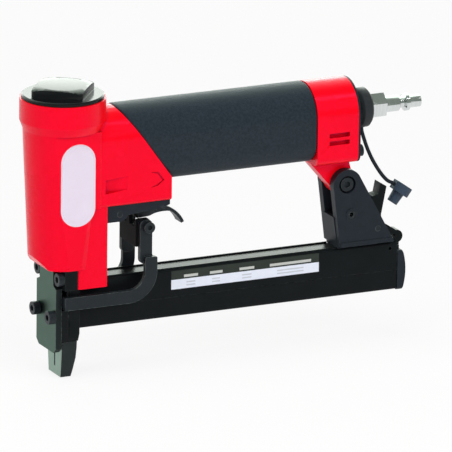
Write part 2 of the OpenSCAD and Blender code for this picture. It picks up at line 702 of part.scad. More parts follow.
module air_plug() color(steel) difference() {
    union() {
        translate([plug_x, 0, inlet_z]) rotate([0, 90, 0]) intersection() {
            rotate([0, 0, 10]) cylinder(r = hex_af / sqrt(3), h = hex_len, $fn = 6);
            cylinder(r1 = hex_af * 0.53, r2 = hex_af * 0.53 + hex_len, h = hex_len);
        }
        rod_x(4.55, end_rear_x - 2, plug_x + 0.1, 0, inlet_z);
        translate([hex_end_x, 0, inlet_z]) rotate([0, 90, 0]) rotate_extrude() polygon([[0, -0.1],
            [4.2, -0.1], [4.2, 8.4], [tip_r - 0.4, 9.4], [tip_r - 0.4, 11.4], [tip_r + 1.3, 12.2],
            [tip_r + 1.3, 14.2], [tip_r, 15], [tip_r, 15 + tip_len], [0, 15 + tip_len]]);
    }
    rod_x(air_r, end_rear_x - 3, tip_x + tip_len + cut, 0, inlet_z);
}

module tether_ring() color(rubber) difference() {
    union() {
        translate([ring_x + fit, 0, inlet_z]) rotate([0, 90, 0]) rotate_extrude() polygon([[0, 0],
            [ring_r - 1, 0], [ring_r, 1], [ring_r, ring_len - 1.2], [ring_r - 1.2, ring_len - fit],
            [0, ring_len - fit]]);
        rod_z(1.9, strap_top[2], inlet_z - 8, strap_top[0], 0);
    }
    rod_x(7 + fit, ring_x - cut, plug_x + cut, 0, inlet_z);
}

module tether_strap() color(rubber) tube(strap_route, strap_r, 8, [0, 1, 0]);

module dust_plug() color(rubber) translate(plug_pos) rotate([0, plug_tilt, 0]) {
    difference() {
        cylinder(r = 5.4, h = 5, center = true);
        // Flat where the strap enters
        translate([-plug_flat - 2, -2, -3]) cube([2, 4, 6]);
    }
    translate([0, 0, -8.6]) cylinder(r1 = 2.8, r2 = 3.2, h = 6.2);
}

// Nose

module driver_guide() color(black) difference() {
    union() {
        block([-guide_front, -leg_half, leg_z], [leg_x, leg_half, head_z]);
        difference() {
            block([-guide_front, -nose_half, guide_z], [guide_rear, nose_half, leg_z - rest_gap]);
            // Room for the contact foot to rise
            block([-guide_front - cut, -foot_top_half - 0.4, guide_z - cut],
                [guide_rear + cut, foot_top_half + 0.4, foot_top_z + foot_travel + 0.5]);
        }
        block([-guide_front, -nose_half, leg_z - 1], [leg_x, nose_half, leg_z + 0.1]);
        block([-tip_half_t, -tip_half_w, guide_tip_z],
            [tip_half_t, tip_half_w, foot_top_z + foot_travel + 1]);
    }
    // Driver channel and the window for the staples
    block([-channel_half_t, -channel_half_w, guide_tip_z - cut],
        [channel_half_t, channel_half_w, head_z + cut]);
    block([0, -mag_inner_half - fit, leg_slot_z], [guide_rear + cut, mag_inner_half + fit, mag_roof_z + 0.1]);
    // Front pocket for the foot's tongue and its springs, and the slots for the arms' tabs
    block([-guide_front - cut, -pocket_half, guide_z - cut], [pocket_back, pocket_half, head_z - 0.8]);
    block([-guide_front - cut, -leg_half, tab_z - 1.8],
        [pocket_back, leg_half, tab_z + tab_h + foot_travel + 0.8]);
    for (m = [0, 1]) mirror([0, m, 0]) {
        // Sloped lower corner beside the foot, and the groove down the guide's side
        along_x(-guide_front - cut, guide_rear + cut) polygon([[foot_top_half + 0.8, guide_z - cut],
            [nose_half + cut, guide_z - cut], [nose_half + cut, guide_z + 4.4], [nose_half, guide_z + 4.4],
            [foot_top_half + 0.8, guide_z]]);
        block([-1.5, nose_half - 0.5, guide_z - cut], [-0.6, nose_half + cut, leg_z - 1.2]);
    }
    for (side = [-1, 1]) {
        rod_x(screw_r + fit, -guide_front - cut, 2, side * front_screw_y, front_screw_z);
        rod_x(screw_clear_r, -guide_front - cut, leg_x + cut, side * nose_screw_y, nose_screw_z);
    }
}

front_waist = nose_screw_y - screw_head_r - 0.7;
module front_plate() color(black) difference() {
    along_x(front_x, -guide_front) polygon([[-nose_half, front_z + 2.4], [3 - nose_half, front_z],
        [nose_half - 3, front_z], [nose_half, front_z + 2.4], [nose_half, leg_z],
        [front_waist, leg_z + 1.6], [front_waist, head_z - 0.1], [-front_waist, head_z - 0.1],
        [-front_waist, leg_z + 1.6], [-nose_half, leg_z]]);
    for (side = [-1, 1])
        rod_x(screw_clear_r, front_x - cut, cut, side * front_screw_y, front_screw_z);
}

module front_plate_screws() color(black) for (side = [-1, 1])
    cap_screw_x(front_x, 1.4, side * front_screw_y, front_screw_z, screw_r, screw_head_r, screw_head_h);

module nose_screws() color(black) for (side = [-1, 1])
    cap_screw_x(-guide_front, leg_x + 9, side * nose_screw_y, nose_screw_z, screw_r, screw_head_r,
        nose_head_h);

// Safety

module contact_foot() color(black) difference() {
    union() {
        intersection() {
            along_y(-foot_top_half, foot_top_half) polygon([[foot_front, 0], [2.3, 0], [3.2, 3.4],
                [4.6, 10], [guide_rear - 0.1, 15.4], [guide_rear - 0.1, foot_top_z],
                [foot_front, foot_top_z]]);
            along_x(foot_front - cut, guide_rear + cut)
                polygon([[-foot_bottom_half, 0], [foot_bottom_half, 0],
                [foot_top_half, foot_top_z], [-foot_top_half, foot_top_z]]);
        }
        block([-guide_front + gap, -pocket_half + gap, front_z + 1],
            [pocket_back - rest_gap, pocket_half - gap, tongue_top_z]);
    }
    // Way of the fixed nose tip, staple slot and sight slot
    block([-tip_half_t - rest_gap, -tip_half_w - gap, foot_floor],
        [tip_half_t + rest_gap, tip_half_w + gap, foot_top_z + cut]);
    block([-channel_half_t - 0.15, -channel_half_w - 0.15, -cut],
        [channel_half_t + 0.15, channel_half_w + 0.15, foot_floor + cut]);
    block([foot_front - cut, -0.5, 4.5], [foot_front + 0.6, 0.5, 11.5]);
    // Notches for the arms' tabs
    for (m = [0, 1]) mirror([0, m, 0])
        block([-guide_front, pocket_half - 1.8, tab_z - gap], [0, pocket_half + cut, tab_z + tab_h + gap]);
}

// The arm on the +Y side: a flat bar beside the nose that bends up into a cranked link
module safety_arm() difference() {
    union() {
        along_y(arm_inner_y, arm_outer_y) {
            translate([-guide_front + 0.4, arm_z]) square([arm_x - arm_bend_r + guide_front - 0.4, arm_h]);
            translate([arm_x, arm_bend_top_z]) square([arm_h, arm_top_z - arm_bend_top_z]);
            translate([arm_x - arm_bend_r, arm_bend_top_z]) intersection() {
                difference() {
                    circle(arm_bend_r + arm_h);
                    circle(arm_bend_r);
                }
                translate([0, -arm_bend_r - arm_h]) square(arm_bend_r + arm_h);
            }
        }
        along_y(link_inner_y, arm_inner_y + 0.2)
            round_box([link_x, link_z], [link_x + arm_h, link_top_z], 2.6);
        block([-guide_front + 0.4, pocket_half - 1.6, tab_z],
            [pocket_back - 0.4, arm_inner_y + 0.4, tab_z + tab_h]);
    }
    rod_y(screw_clear_r, link_inner_y - cut, arm_inner_y + cut, link_screw_x, link_screw_z);
}

module left_safety_arm() color(black) mirror([0, 1, 0]) safety_arm();

module right_safety_arm() color(black) safety_arm();

module safety_bridge() color(black) difference() {
    union() {
        block([link_x - 1.2, -link_inner_y, link_z + 8.6], [link_x + 0.8, link_inner_y, link_top_z - 4]);
        block([link_x - 1.2, -2, link_top_z - 5], [link_x + 0.8, 2, link_top_z + 0.2]);
        for (m = [0, 1]) mirror([0, m, 0]) along_y(bridge_inner_y, link_inner_y)
            round_box([link_x - 1.2, link_z + 8.6], [link_x + arm_h, link_top_z], 2);
    }
    for (m = [0, 1]) mirror([0, m, 0])
        rod_y(screw_r + fit, bridge_inner_y - cut, link_inner_y + cut, link_screw_x, link_screw_z);
}

module safety_screws() color(black) for (m = [0, 1]) mirror([0, m, 0])
    translate([link_screw_x, arm_inner_y + 0.2, link_screw_z]) rotate([0, 0, -90])
        cap_screw_x(0, arm_inner_y + 0.2 - bridge_inner_y, 0, 0, screw_r, 3, 2.8);

safety_spring_y = 4;
safety_spring_wire = 0.3;
module safety_springs() color(steel) for (side = [-1, 1])
    translate([(pocket_back - guide_front) / 2, side * safety_spring_y, 0])
        coil(0.95, safety_spring_wire, tongue_top_z + 0.1, head_z - 0.9, 8);

// Trigger and air valve

module trigger_housing() color(black) difference() {
    along_y(-housing_half, housing_half) {
        polygon([[leg_rear_x + gap, shelf_z], [leg_rear_x + gap, trigger_z - 3.8],
            [trigger_pin_x + 1, trigger_z - 3.8],
            [trigger_pin_x + 3.2, trigger_z - 2.8], [trigger_pin_x + 4.4, trigger_z - 0.8],
            [shelf_rear_x - 4, trigger_z + 0.9],
            [shelf_rear_x, shelf_z - 2.6], [shelf_rear_x, shelf_z]]);
        translate([trigger_pin_x, trigger_z]) circle(3.9);
    }
    block([leg_rear_x + 3.4, -channel_half, trigger_z - 8],
        [shelf_rear_x + cut, channel_half, shelf_z + cut]);
    rod_y(trigger_pin_r + 0.02, -housing_half - cut, housing_half + cut, trigger_pin_x, trigger_z);
    for (side = [-1, 1]) {
        rod_z(small_screw_r + gap, trigger_z - 8, shelf_z + cut, shelf_rear_x - 4.4,
            side * (housing_half - 3));
        rod_z(small_head_r + gap, trigger_z - 8, shelf_z - 2.6, shelf_rear_x - 4.4,
            side * (housing_half - 3));
    }
}

module housing_screws() color(black) for (side = [-1, 1])
    translate([shelf_rear_x - 4.4, side * (housing_half - 3), shelf_z - 2.6]) rotate([0, -90, 0])
        cap_screw_x(0, 9, 0, 0, small_screw_r, small_head_r, 1.6);

module trigger() color(black) difference() {
    union() {
        along_y(-trigger_half, trigger_half) {
            translate([trigger_pin_x, trigger_z]) circle(trigger_hub_r);
            translate([trigger_pin_x, blade_top_z - trigger_t])
                square([trigger_tail_x - trigger_pin_x, trigger_t]);
        }
        // Curved tail for the finger
        along_y(-trigger_tail_half, trigger_tail_half) {
            translate([trigger_tail_x - 2, blade_top_z - trigger_t]) square([2.1, trigger_t]);
            translate([trigger_tail_x, blade_top_z - trigger_bend_r]) intersection() {
                difference() {
                    circle(trigger_bend_r);
                    circle(trigger_bend_r - trigger_t);
                }
                polygon([[0, 0],
                    [2 * trigger_bend_r * sin(trigger_bend_angle),
                    2 * trigger_bend_r * cos(trigger_bend_angle)],
                    [2 * trigger_bend_r, 2 * trigger_bend_r], [0, 2 * trigger_bend_r]]);
            }
        }
        // Ears for the trip lever's pin
        for (m = [0, 1]) mirror([0, m, 0]) along_y(trip_half + 0.3, trip_half + 1.8) {
            translate([trip_pin_x - 2, blade_top_z - 0.5]) square([4, 2.5]);
            translate([trip_pin_x, trip_pin_z]) circle(1.9);
        }
    }
    rod_y(trigger_pin_r + fit, -housing_half, housing_half, trigger_pin_x, trigger_z);
    rod_y(trip_pin_r + 0.02, -housing_half, housing_half, trip_pin_x, trip_pin_z);
    // Slot for the finger of the safety bridge
    block([link_x - 3.6, -3, trigger_z - 6], [link_x + 3.4, 3, shelf_z]);
}

module trigger_pin() color(steel)
    rod_y(trigger_pin_r, -housing_half, housing_half, trigger_pin_x, trigger_z);

module trip_lever() color(steel) difference() {
    along_y(-trip_half, trip_half) {
        translate([link_x - 4, trip_z]) square([trip_pin_x - link_x + 4, trip_t]);
        translate([trip_pin_x, trip_pin_z]) circle(1.6);
    }
    rod_y(trip_pin_r + fit, -trip_half - cut, trip_half + cut, trip_pin_x, trip_pin_z);
}

module trip_lever_pin() color(steel)
    rod_y(trip_pin_r, -trip_half - 1.8, trip_half + 1.8, trip_pin_x, trip_pin_z);

valve_seal_z = [shelf_z + 1.6, valve_top_z - 3.2];
valve_chamber_z = [shelf_z + 2.6, valve_top_z - 2.5];
module valve_body() color(brass) difference() {
    rod_z(valve_r, shelf_z, valve_top_z, valve_x, 0);
    rod_z(stem_r + 0.06, shelf_z - cut, valve_top_z + cut, valve_x, 0);
    rod_z(3.4, valve_chamber_z[0], valve_chamber_z[1], valve_x, 0);
    for (z = valve_seal_z) translate([valve_x, 0, z]) rotate_extrude()
        translate([valve_r - 0.9, 0]) square([2, 1.2]);
}

module valve_stem() color(steel) {
    translate([valve_x, 0, stem_z + stem_r]) sphere(stem_r);
    rod_z(stem_r, stem_z + stem_r, valve_top_z - 1.8, valve_x, 0);
    rod_z(3.2, valve_chamber_z[0] + gap, valve_chamber_z[0] + 1.7, valve_x, 0);
}

module valve_spring() color(steel) translate([valve_x, 0, 0])
    coil(2.6, 0.35, valve_chamber_z[0] + 1.8, valve_chamber_z[1] - 0.1, 5);

module valve_seals() color(rubber) for (z = valve_seal_z)
    translate([valve_x, 0, 0]) ring_z(valve_r - 0.43, 0.43, z + 0.6);

// Magazine

module magazine_housing() color(black) difference() {
    along_x(mag_front_x, mag_rear_x) difference() {
        union() {
            round_box([-mag_half, mag_split_z + 2], [mag_half, mag_top_z], 1.4);
            translate([-mag_half, mag_split_z]) square([mag_w, 5]);
        }
        translate([-mag_inner_half, mag_split_z - cut])
            square([2 * mag_inner_half, mag_roof_z - mag_split_z + cut]);
    }
    // Seats of the screws that hold the bracket, and the small stop holes
    for (x = bracket_screw_x) {
        rod_z(small_screw_r + 0.1, mag_roof_z - cut, mag_top_z + cut, x, 0);
        translate([x, 0, mag_roof_z - 0.01])
            cylinder(r1 = small_head_r + 0.1, r2 = small_screw_r + 0.1, h = 1.4);
    }
    rod_y(0.9, -mag_w, mag_w, mag_rear_x - 4, mag_top_z - 3.4);
    // Slot in the roof for the latch
    block([mag_rear_x - 5, -latch_half - 0.4, mag_roof_z - cut],
        [mag_rear_x + cut, latch_half + 0.4, mag_top_z + cut]);
}

module magazine_rail() color(black) difference() {
    union() {
        along_x(mag_front_x + 0.1, rail_rear_x) difference() {
            union() {
                round_box([-rail_half, mag_bottom_z], [rail_half, rail_top_z - 2], 1.4);
                translate([-rail_half, rail_top_z - 5]) square([2 * rail_half, 5]);
            }
            // Grooves for the legs of the staples
            for (side = [-1, 1]) translate([side * (tongue_half + mag_inner_half) / 2, leg_slot_z + 3])
                square([mag_inner_half - tongue_half, 6], center = true);
        }
        along_x(tongue_front_x, rail_rear_x) translate([-tongue_half, rail_top_z - 4])
            square([2 * tongue_half, tongue_z - rail_top_z + 4]);
    }
    // Spring tunnel, open along its top for the pusher's key
    rod_x(spring_bore_r, 6, rail_rear_x + cut, 0, spring_z);
    block([6, -1.3, spring_z], [rail_rear_x - 4, 1.3, tongue_z + cut]);
    rod_x(rod_r + 0.02, 3, 7, 0, spring_z);
    for (side = [-1, 1]) rod_x(small_screw_r + fit, rail_rear_x - 9, rail_rear_x + cut, side * 3.2,
        mag_bottom_z + 4.4);
}

cap_half = mag_half + 0.5;
module rail_end_cap() color(black) difference() {
    union() {
        intersection() {
            along_x(rail_rear_x, rail_rear_x + end_cap_t)
                round_box([-cap_half, mag_bottom_z - 0.4], [cap_half, end_cap_top_z], 2);
            // Rear face bowed in the side view
            rod_y(34, -cap_half, cap_half, rail_rear_x + end_cap_t - 34, (mag_bottom_z + end_cap_top_z) / 2);
        }
        // Catch for the latch's hook
        block([rail_rear_x, 0.4 - latch_half, end_cap_top_z - 2],
            [rail_rear_x + 2.6, latch_half - 0.4, tongue_z]);
    }
    for (side = [-1, 1]) {
        rod_x(small_screw_r + gap, rail_rear_x - cut, rail_rear_x + 9, side * 3.2, mag_bottom_z + 4.4);
        rod_x(small_head_r + gap, rail_rear_x + 1.6, rail_rear_x + 9, side * 3.2, mag_bottom_z + 4.4);
    }
}

module end_cap_screws() color(steel) for (side = [-1, 1])
    translate([rail_rear_x + 1.6, side * 3.2, mag_bottom_z + 4.4]) mirror([1, 0, 0])
        cap_screw_x(0, 9, 0, 0, small_screw_r, small_head_r, 1.4);

pusher_half = mag_inner_half - gap;
module pusher() color(steel) {
    difference() {
        block([pusher_x, -pusher_half, leg_slot_z + 2],
            [pusher_x + pusher_len, pusher_half, mag_roof_z - gap]);
        block([pusher_x - cut, -tongue_half - 0.15, leg_slot_z],
            [pusher_x + pusher_len + cut, tongue_half + 0.15, tongue_z + gap]);
    }
    // Key that reaches down into the spring tunnel and runs on the rod
    difference() {
        union() {
            rod_x(spring_bore_r - gap, pusher_x + 6.5, pusher_x + 9.5, 0, spring_z);
            block([pusher_x + 6.5, -1.05, spring_z], [pusher_x + 9.5, 1.05, tongue_z + gap + 0.1]);
        }
        rod_x(rod_r + 0.1, 0, pusher_x + pusher_len, 0, spring_z);
    }
}

module pusher_spring() color(steel) translate([0, 0, spring_z]) rotate([0, 90, 0])
    coil(1.85, 0.3, pusher_x + 9.7, rail_rear_x - 0.2, 24);

module spring_rod() color(steel) rod_x(rod_r, 3.2, rail_rear_x, 0, spring_z);

// Rear bracket and latch

bracket_front_x = bolt_x - 3.8;
bracket_screw_x = [bolt_x + 2, bolt_x + 13];
module bracket_side() difference() {
    union() {
        polygon([[bracket_front_x, plate_z], [bracket_rear_x, plate_z], [latch_x + 5.6, latch_z - 0.8],
            [bolt_x + bracket_top_r * cos(29), bolt_z + bracket_top_r * sin(29)], [bolt_x, bolt_z + 1],
            [bolt_x - bracket_top_r, bolt_z + 0.4]]);
        translate([bolt_x, bolt_z]) circle(bracket_top_r);
    }
    translate([bracket_pin_x, bracket_pin_z]) circle(2);
    translate([latch_x, latch_z]) circle(1.52);
}

module rear_bracket() color(black) difference() {
    union() {
        for (m = [0, 1]) mirror([0, m, 0]) {
            along_y(bracket_inner, bracket_half) bracket_side();
            // Ledge along the foot of the side plate
            block([bracket_front_x + 0.6, bracket_half - 0.1, plate_z],
                [bracket_rear_x - 0.8, bracket_half + 0.5, plate_z + 2.2]);
            // Boss round the pin
            translate([0, bracket_half - 0.1, 0]) along_y(0, 0.5) difference() {
                translate([bracket_pin_x, bracket_pin_z]) circle(3.2);
                translate([bracket_pin_x, bracket_pin_z]) circle(2);
            }
        }
        // Front web and base
        along_y(0.1 - mag_half, mag_half - 0.1) {
            polygon([[bracket_front_x, mag_top_z], [bracket_front_x + 3.8, mag_top_z],
                [bracket_front_x + 1.4, bracket_pin_z - 1.4], [bracket_front_x - 2.4, bracket_pin_z - 1.4]]);
            translate([bracket_front_x, mag_top_z])
                square([latch_x + 1 - bracket_front_x, bracket_base_z - mag_top_z]);
        }
    }
    rod_y(bolt_r + 0.1, -bracket_half - cut, bracket_half + cut, bolt_x, bolt_z);
    rod_y(4.7, -bracket_half - cut, 3.2 - bracket_half, bolt_x, bolt_z);
    translate([bolt_x, bracket_half + cut, bolt_z]) rotate([90, 0, 0])
        cylinder(r = 4.8, h = 3.2 + cut, $fn = 6);
    for (x = bracket_screw_x) rod_z(small_screw_r + fit, mag_top_z - cut, bracket_base_z + cut, x, 0);
}

module bracket_bolt() color(black) translate([bolt_x, 3.2 - bracket_half, bolt_z]) rotate([0, 0, 90])
    cap_screw_x(0, 2 * bracket_half - 3.6, 0, 0, bolt_r, 3.7, 2.8);

module bracket_nut() color(steel)
    translate([bolt_x, bracket_half - 0.2, bolt_z]) rotate([90, 0, 0]) difference() {
    cylinder(r = 4.6, h = 3, $fn = 6);
    translate([0, 0, -cut]) cylinder(r = bolt_r + 0.02, h = 6);
}

// Hollow pin
module bracket_pin() color(steel) difference() {
    rod_y(1.98, -bracket_half, bracket_half, bracket_pin_x, bracket_pin_z);
    rod_y(1.2, -bracket_half - cut, bracket_half + cut, bracket_pin_x, bracket_pin_z);
}

module bracket_screws() color(steel) for (x = bracket_screw_x) {
    rod_z(small_screw_r, mag_roof_z + 0.1, bracket_base_z, x, 0);
    translate([x, 0, mag_roof_z + 0.05]) cylinder(r1 = small_head_r - 0.1, r2 = small_screw_r, h = 1.3);
}

latch_hook_x = rail_rear_x + 0.3;
module latch_lever() color(black) difference() {
    along_y(-latch_half, latch_half) {
        // Thumb blade above the pin and tail behind it
        polygon([[latch_x + 1, latch_z - 3.2], [lobe_x - 1.6, lobe_z - 2.6], [lobe_x + 0.4, lobe_z + 2.9],
            [latch_x + 4.9, latch_z + 1.6], [latch_x + 4.7, latch_z + latch_thumb_h * 0.24],
            [latch_x + 7.6, latch_z + latch_thumb_h * 0.9], [latch_x + 4, latch_z + latch_thumb_h],
            [latch_x + 2.8, latch_z + latch_thumb_h * 0.73], [latch_x - 0.5, latch_z + latch_thumb_h * 0.7],
            [latch_x - 0.8, latch_z + latch_thumb_h * 0.58], [latch_x - 2.2, latch_z]]);
        translate([latch_x, latch_z]) circle(latch_hub_r);
        translate([lobe_x, lobe_z]) circle(lobe_r);
        // Hook over the rail's end cap
        translate([latch_hook_x, tongue_z + rest_gap]) square([2, lobe_z - tongue_z]);
    }
    rod_y(1.5 + fit, -latch_half - cut, latch_half + cut, latch_x, latch_z);
    rod_y(1.2, -latch_half - cut, latch_half + cut, lobe_x - 2.1, lobe_z + 0.4);
}

module latch_pin() color(steel) rod_y(1.5, -bracket_half, bracket_half, latch_x, latch_z);

latch_coil_r = 2.4;
latch_wire_r = 0.4;
latch_face_x = latch_x - 2.2 + 1.4 * (bracket_pin_z - latch_z) / (latch_thumb_h * 0.58);
latch_hub_dz = max(0, abs(bracket_pin_z - latch_z) - latch_coil_r - latch_wire_r);
latch_hub_x = latch_x - sqrt(max(0, latch_hub_r * latch_hub_r - latch_hub_dz * latch_hub_dz));
latch_coil = [latch_coil_r, latch_wire_r, bracket_pin_x + 2.1, min(latch_face_x, latch_hub_x) - gap - 0.1, 5];
module latch_spring() color(steel) translate([0, 0, bracket_pin_z]) rotate([0, 90, 0])
    coil(latch_coil[0], latch_coil[1], latch_coil[2], latch_coil[3], latch_coil[4]);
echo(str("stroke of the driver: ", stroke, " mm"));
echo(str("least gap in the latch spring: ",
    coil_space(latch_coil[0], latch_coil[1], latch_coil[2], latch_coil[3], latch_coil[4]), " mm"));

head_casting();
cylinder_cap();
cap_seal();
cylinder_sleeve();
sleeve_seals();
bumper();
piston();
piston_ring();
driver_blade();
blade_pin();
head_valve();
head_valve_seal();
head_valve_spring();
grip_sleeve();
handle_end();
handle_end_seal();
end_plate();
end_plate_screws();
inlet_bush();
air_plug();
tether_ring();
tether_strap();
dust_plug();
driver_guide();
front_plate();
front_plate_screws();
nose_screws();
contact_foot();
left_safety_arm();
right_safety_arm();
safety_bridge();
safety_screws();
safety_springs();
trigger_housing();
housing_screws();
trigger();
trigger_pin();
trip_lever();
trip_lever_pin();
valve_body();
valve_stem();
valve_spring();
valve_seals();
magazine_housing();
magazine_rail();
rail_end_cap();
end_cap_screws();
pusher();
pusher_spring();
spring_rod();
rear_bracket();
bracket_bolt();
bracket_nut();
bracket_pin();
bracket_screws();
latch_lever();
latch_pin();
latch_spring();
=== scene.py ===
import bpy
import bmesh
import json
import math
import numpy as np
from mathutils import Matrix, Vector


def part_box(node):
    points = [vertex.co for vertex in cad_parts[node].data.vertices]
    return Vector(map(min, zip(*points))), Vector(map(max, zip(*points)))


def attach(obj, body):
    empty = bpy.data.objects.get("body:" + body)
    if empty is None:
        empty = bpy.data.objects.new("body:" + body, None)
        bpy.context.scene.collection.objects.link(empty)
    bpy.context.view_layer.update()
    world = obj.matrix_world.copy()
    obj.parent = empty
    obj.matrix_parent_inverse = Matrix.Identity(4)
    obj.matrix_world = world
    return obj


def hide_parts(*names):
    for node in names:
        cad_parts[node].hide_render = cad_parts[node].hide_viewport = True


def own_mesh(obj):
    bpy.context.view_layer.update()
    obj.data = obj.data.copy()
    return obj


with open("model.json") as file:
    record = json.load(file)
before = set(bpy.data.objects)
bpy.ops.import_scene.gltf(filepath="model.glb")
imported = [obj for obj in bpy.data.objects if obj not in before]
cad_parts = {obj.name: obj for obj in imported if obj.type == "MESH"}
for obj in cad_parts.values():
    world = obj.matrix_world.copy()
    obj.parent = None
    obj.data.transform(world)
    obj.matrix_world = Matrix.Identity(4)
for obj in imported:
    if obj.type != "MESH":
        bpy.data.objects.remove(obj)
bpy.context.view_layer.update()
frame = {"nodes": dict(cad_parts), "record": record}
scene = bpy.context.scene
scene.view_settings.view_transform = "Standard"
mm = 0.001
gridGap, nodeGap = 2e-6, 1e-6  # metres within which two points of a grid, or of a CAD node, count as one
print("frame loaded:", len(frame["nodes"]), "nodes")

# camera of the picture: a long lens, round to the nose side and a little above
cameraSet = {
    "azimuth": 25.15,      # degrees round to the nose side
    "elevation": 16.5,
    "roll": 0.66,          # the picture's upright leans right by this much
    "distance": 6.0,
    "pixelsPerMm": 1.948,
    "picture": 452,        # pixels across the picture
    "sensor": 36,
    "clip": 50,
    "target": (0.0925, 0.0, 0.0677),
}


def addCamera(s):
    psi, e, roll = (math.radians(s[k]) for k in ("azimuth", "elevation", "roll"))
    right = Vector((math.cos(psi), -math.sin(psi), 0))
    up = Vector((math.sin(psi) * math.sin(e), math.cos(psi) * math.sin(e), math.cos(e)))
    back = right.cross(up)
    camRight = right * math.cos(roll) + up * math.sin(roll)
    camUp = up * math.cos(roll) - right * math.sin(roll)
    data = bpy.data.cameras.new("photoCamera")
    data.sensor_width = s["sensor"]
    data.lens = s["pixelsPerMm"] * s["sensor"] * s["distance"] / mm / s["picture"]
    data.clip_end = s["clip"]
    cam = bpy.data.objects.new("photoCamera", data)
    turn = Matrix((camRight, camUp, back)).transposed().to_4x4()
    cam.matrix_world = Matrix.Translation(Vector(s["target"]) + back * s["distance"]) @ turn
    scene.collection.objects.link(cam)
    scene.camera = cam


addCamera(cameraSet)


def newGroup(name, inputs, outputs):
    g = bpy.data.node_groups.new(name, "ShaderNodeTree")
    for label, kind, value in inputs:
        s = g.interface.new_socket(label, in_out="INPUT", socket_type="NodeSocket" + kind)
        if value is not None:
            s.default_value = value
    for label, kind in outputs:
        g.interface.new_socket(label, in_out="OUTPUT", socket_type="NodeSocket" + kind)
    return g, g.nodes.new("NodeGroupInput"), g.nodes.new("NodeGroupOutput")


def put(tree, kind, values=(), **fields):
    n = tree.nodes.new("ShaderNode" + kind)
    for k, v in fields.items():
        setattr(n, k, v)
    for k, v in dict(values).items():
        n.inputs[k].default_value = v
    return n


def wire(tree, *pairs):
    for a, b in pairs:
        tree.links.new(a, b)


def newMaterial(name):
    m = bpy.data.materials.new(name)
    m.use_nodes = True
    return m, m.node_tree, m.node_tree.nodes["Principled BSDF"]


def placeGroup(tree, group, *values):
    # a group on the piece's own coordinates where it has a vector, with its other inputs set in order
    n = put(tree, "Group")
    n.node_tree = group
    if "Vector" in n.inputs:
        wire(tree, (put(tree, "TexCoord").outputs["Object"], n.inputs["Vector"]))
    for socket, value in zip(list(n.inputs)[1:], values):
        socket.default_value = value
    return n


def roughAndBump(tree, shader, pattern, rough, strength, depth):
    # the pattern's mask spreads the roughness over its range, its height lifts the surface
    spread = put(tree, "MapRange", {"To Min": rough[0], "To Max": rough[1]})
    bump = put(tree, "Bump", {"Strength": strength, "Distance": depth})
    wire(tree, (pattern.outputs["Mask"], spread.inputs["Value"]), (pattern.outputs["Height"], bump.inputs["Height"]),
         (spread.outputs["Result"], shader.inputs["Roughness"]), (bump.outputs[0], shader.inputs["Normal"]))


def colourMix(tree, factor, a, b):
    # from a to b by the factor; each of the two is a constant colour or the output of another node
    n = put(tree, "Mix", data_type="RGBA")
    wire(tree, (factor, n.inputs[0]))
    for socket, colour in zip([s for s in n.inputs if s.type == "RGBA"], (a, b)):
        if isinstance(colour, tuple):
            socket.default_value = (*colour, 1)
        else:
            wire(tree, (colour, socket))
    return [s for s in n.outputs if s.type == "RGBA"][0]


def grainGroup():
    # two sizes of noise added: a fine skin and a slow drift of tone
    g, i, o = newGroup("surfaceGrain",
                       [("Vector", "Vector", None), ("Fine", "Float", 900.0), ("Slow", "Float", 60.0)],
                       [("Height", "Float"), ("Mask", "Float")])
    fine = put(g, "TexNoise", {"Detail": 3.0, "Roughness": 0.55})
    slow = put(g, "TexNoise", {"Detail": 4.0, "Roughness": 0.6})
    mix = put(g, "Math", {1: 0.35}, operation="MULTIPLY_ADD")
    wire(g, (i.outputs["Vector"], fine.inputs["Vector"]), (i.outputs["Fine"], fine.inputs["Scale"]),
         (i.outputs["Vector"], slow.inputs["Vector"]), (i.outputs["Slow"], slow.inputs["Scale"]),
         (fine.outputs[0], mix.inputs[0]), (slow.outputs[0], mix.inputs[2]),
         (fine.outputs[0], o.inputs["Height"]), (mix.outputs[0], o.inputs["Mask"]))
    return g


def pebbleGroup():
    # rounded cells of a Voronoi pattern, lifted at their middles, with a blotchy tone over them
    g, i, o = newGroup("rubberPebble",
                       [("Vector", "Vector", None), ("Cells", "Float", 900.0), ("Blotch", "Float", 220.0)],
                       [("Height", "Float"), ("Mask", "Float")])
    cells = put(g, "TexVoronoi", {"Randomness": 1.0}, feature="F1")
    blotch = put(g, "TexNoise", {"Detail": 5.0, "Roughness": 0.7})
    lift = put(g, "MapRange", {"From Min": 0.0, "From Max": 0.7, "To Min": 1.0, "To Max": 0.0})
    sharpen = put(g, "MapRange", {"From Min": 0.3, "From Max": 0.7}, interpolation_type="SMOOTHSTEP")
    wire(g, (i.outputs["Vector"], cells.inputs["Vector"]), (i.outputs["Cells"], cells.inputs["Scale"]),
         (i.outputs["Vector"], blotch.inputs["Vector"]), (i.outputs["Blotch"], blotch.inputs["Scale"]),
         (cells.outputs["Distance"], lift.inputs["Value"]), (lift.outputs["Result"], o.inputs["Height"]),
         (blotch.outputs[0], sharpen.inputs["Value"]), (sharpen.outputs["Result"], o.inputs["Mask"]))
    return g


def brushGroup():
    # noise pulled long along one axis, as a belt or a turning tool leaves it
    g, i, o = newGroup("toolMarks",
                       [("Vector", "Vector", None), ("Stretch", "Vector", (30.0, 1500.0, 1500.0))],
                       [("Height", "Float"), ("Mask", "Float")])
    scale = put(g, "VectorMath", operation="MULTIPLY")
    lines = put(g, "TexNoise", {"Scale": 1.0, "Detail": 3.0, "Roughness": 0.6})
    spread = put(g, "MapRange", {"From Min": 0.3, "From Max": 0.7})
    wire(g, (i.outputs["Vector"], scale.inputs[0]), (i.outputs["Stretch"], scale.inputs[1]),
         (scale.outputs[0], lines.inputs["Vector"]), (lines.outputs[0], o.inputs["Height"]),
         (lines.outputs[0], spread.inputs["Value"]), (spread.outputs["Result"], o.inputs["Mask"]))
    return g


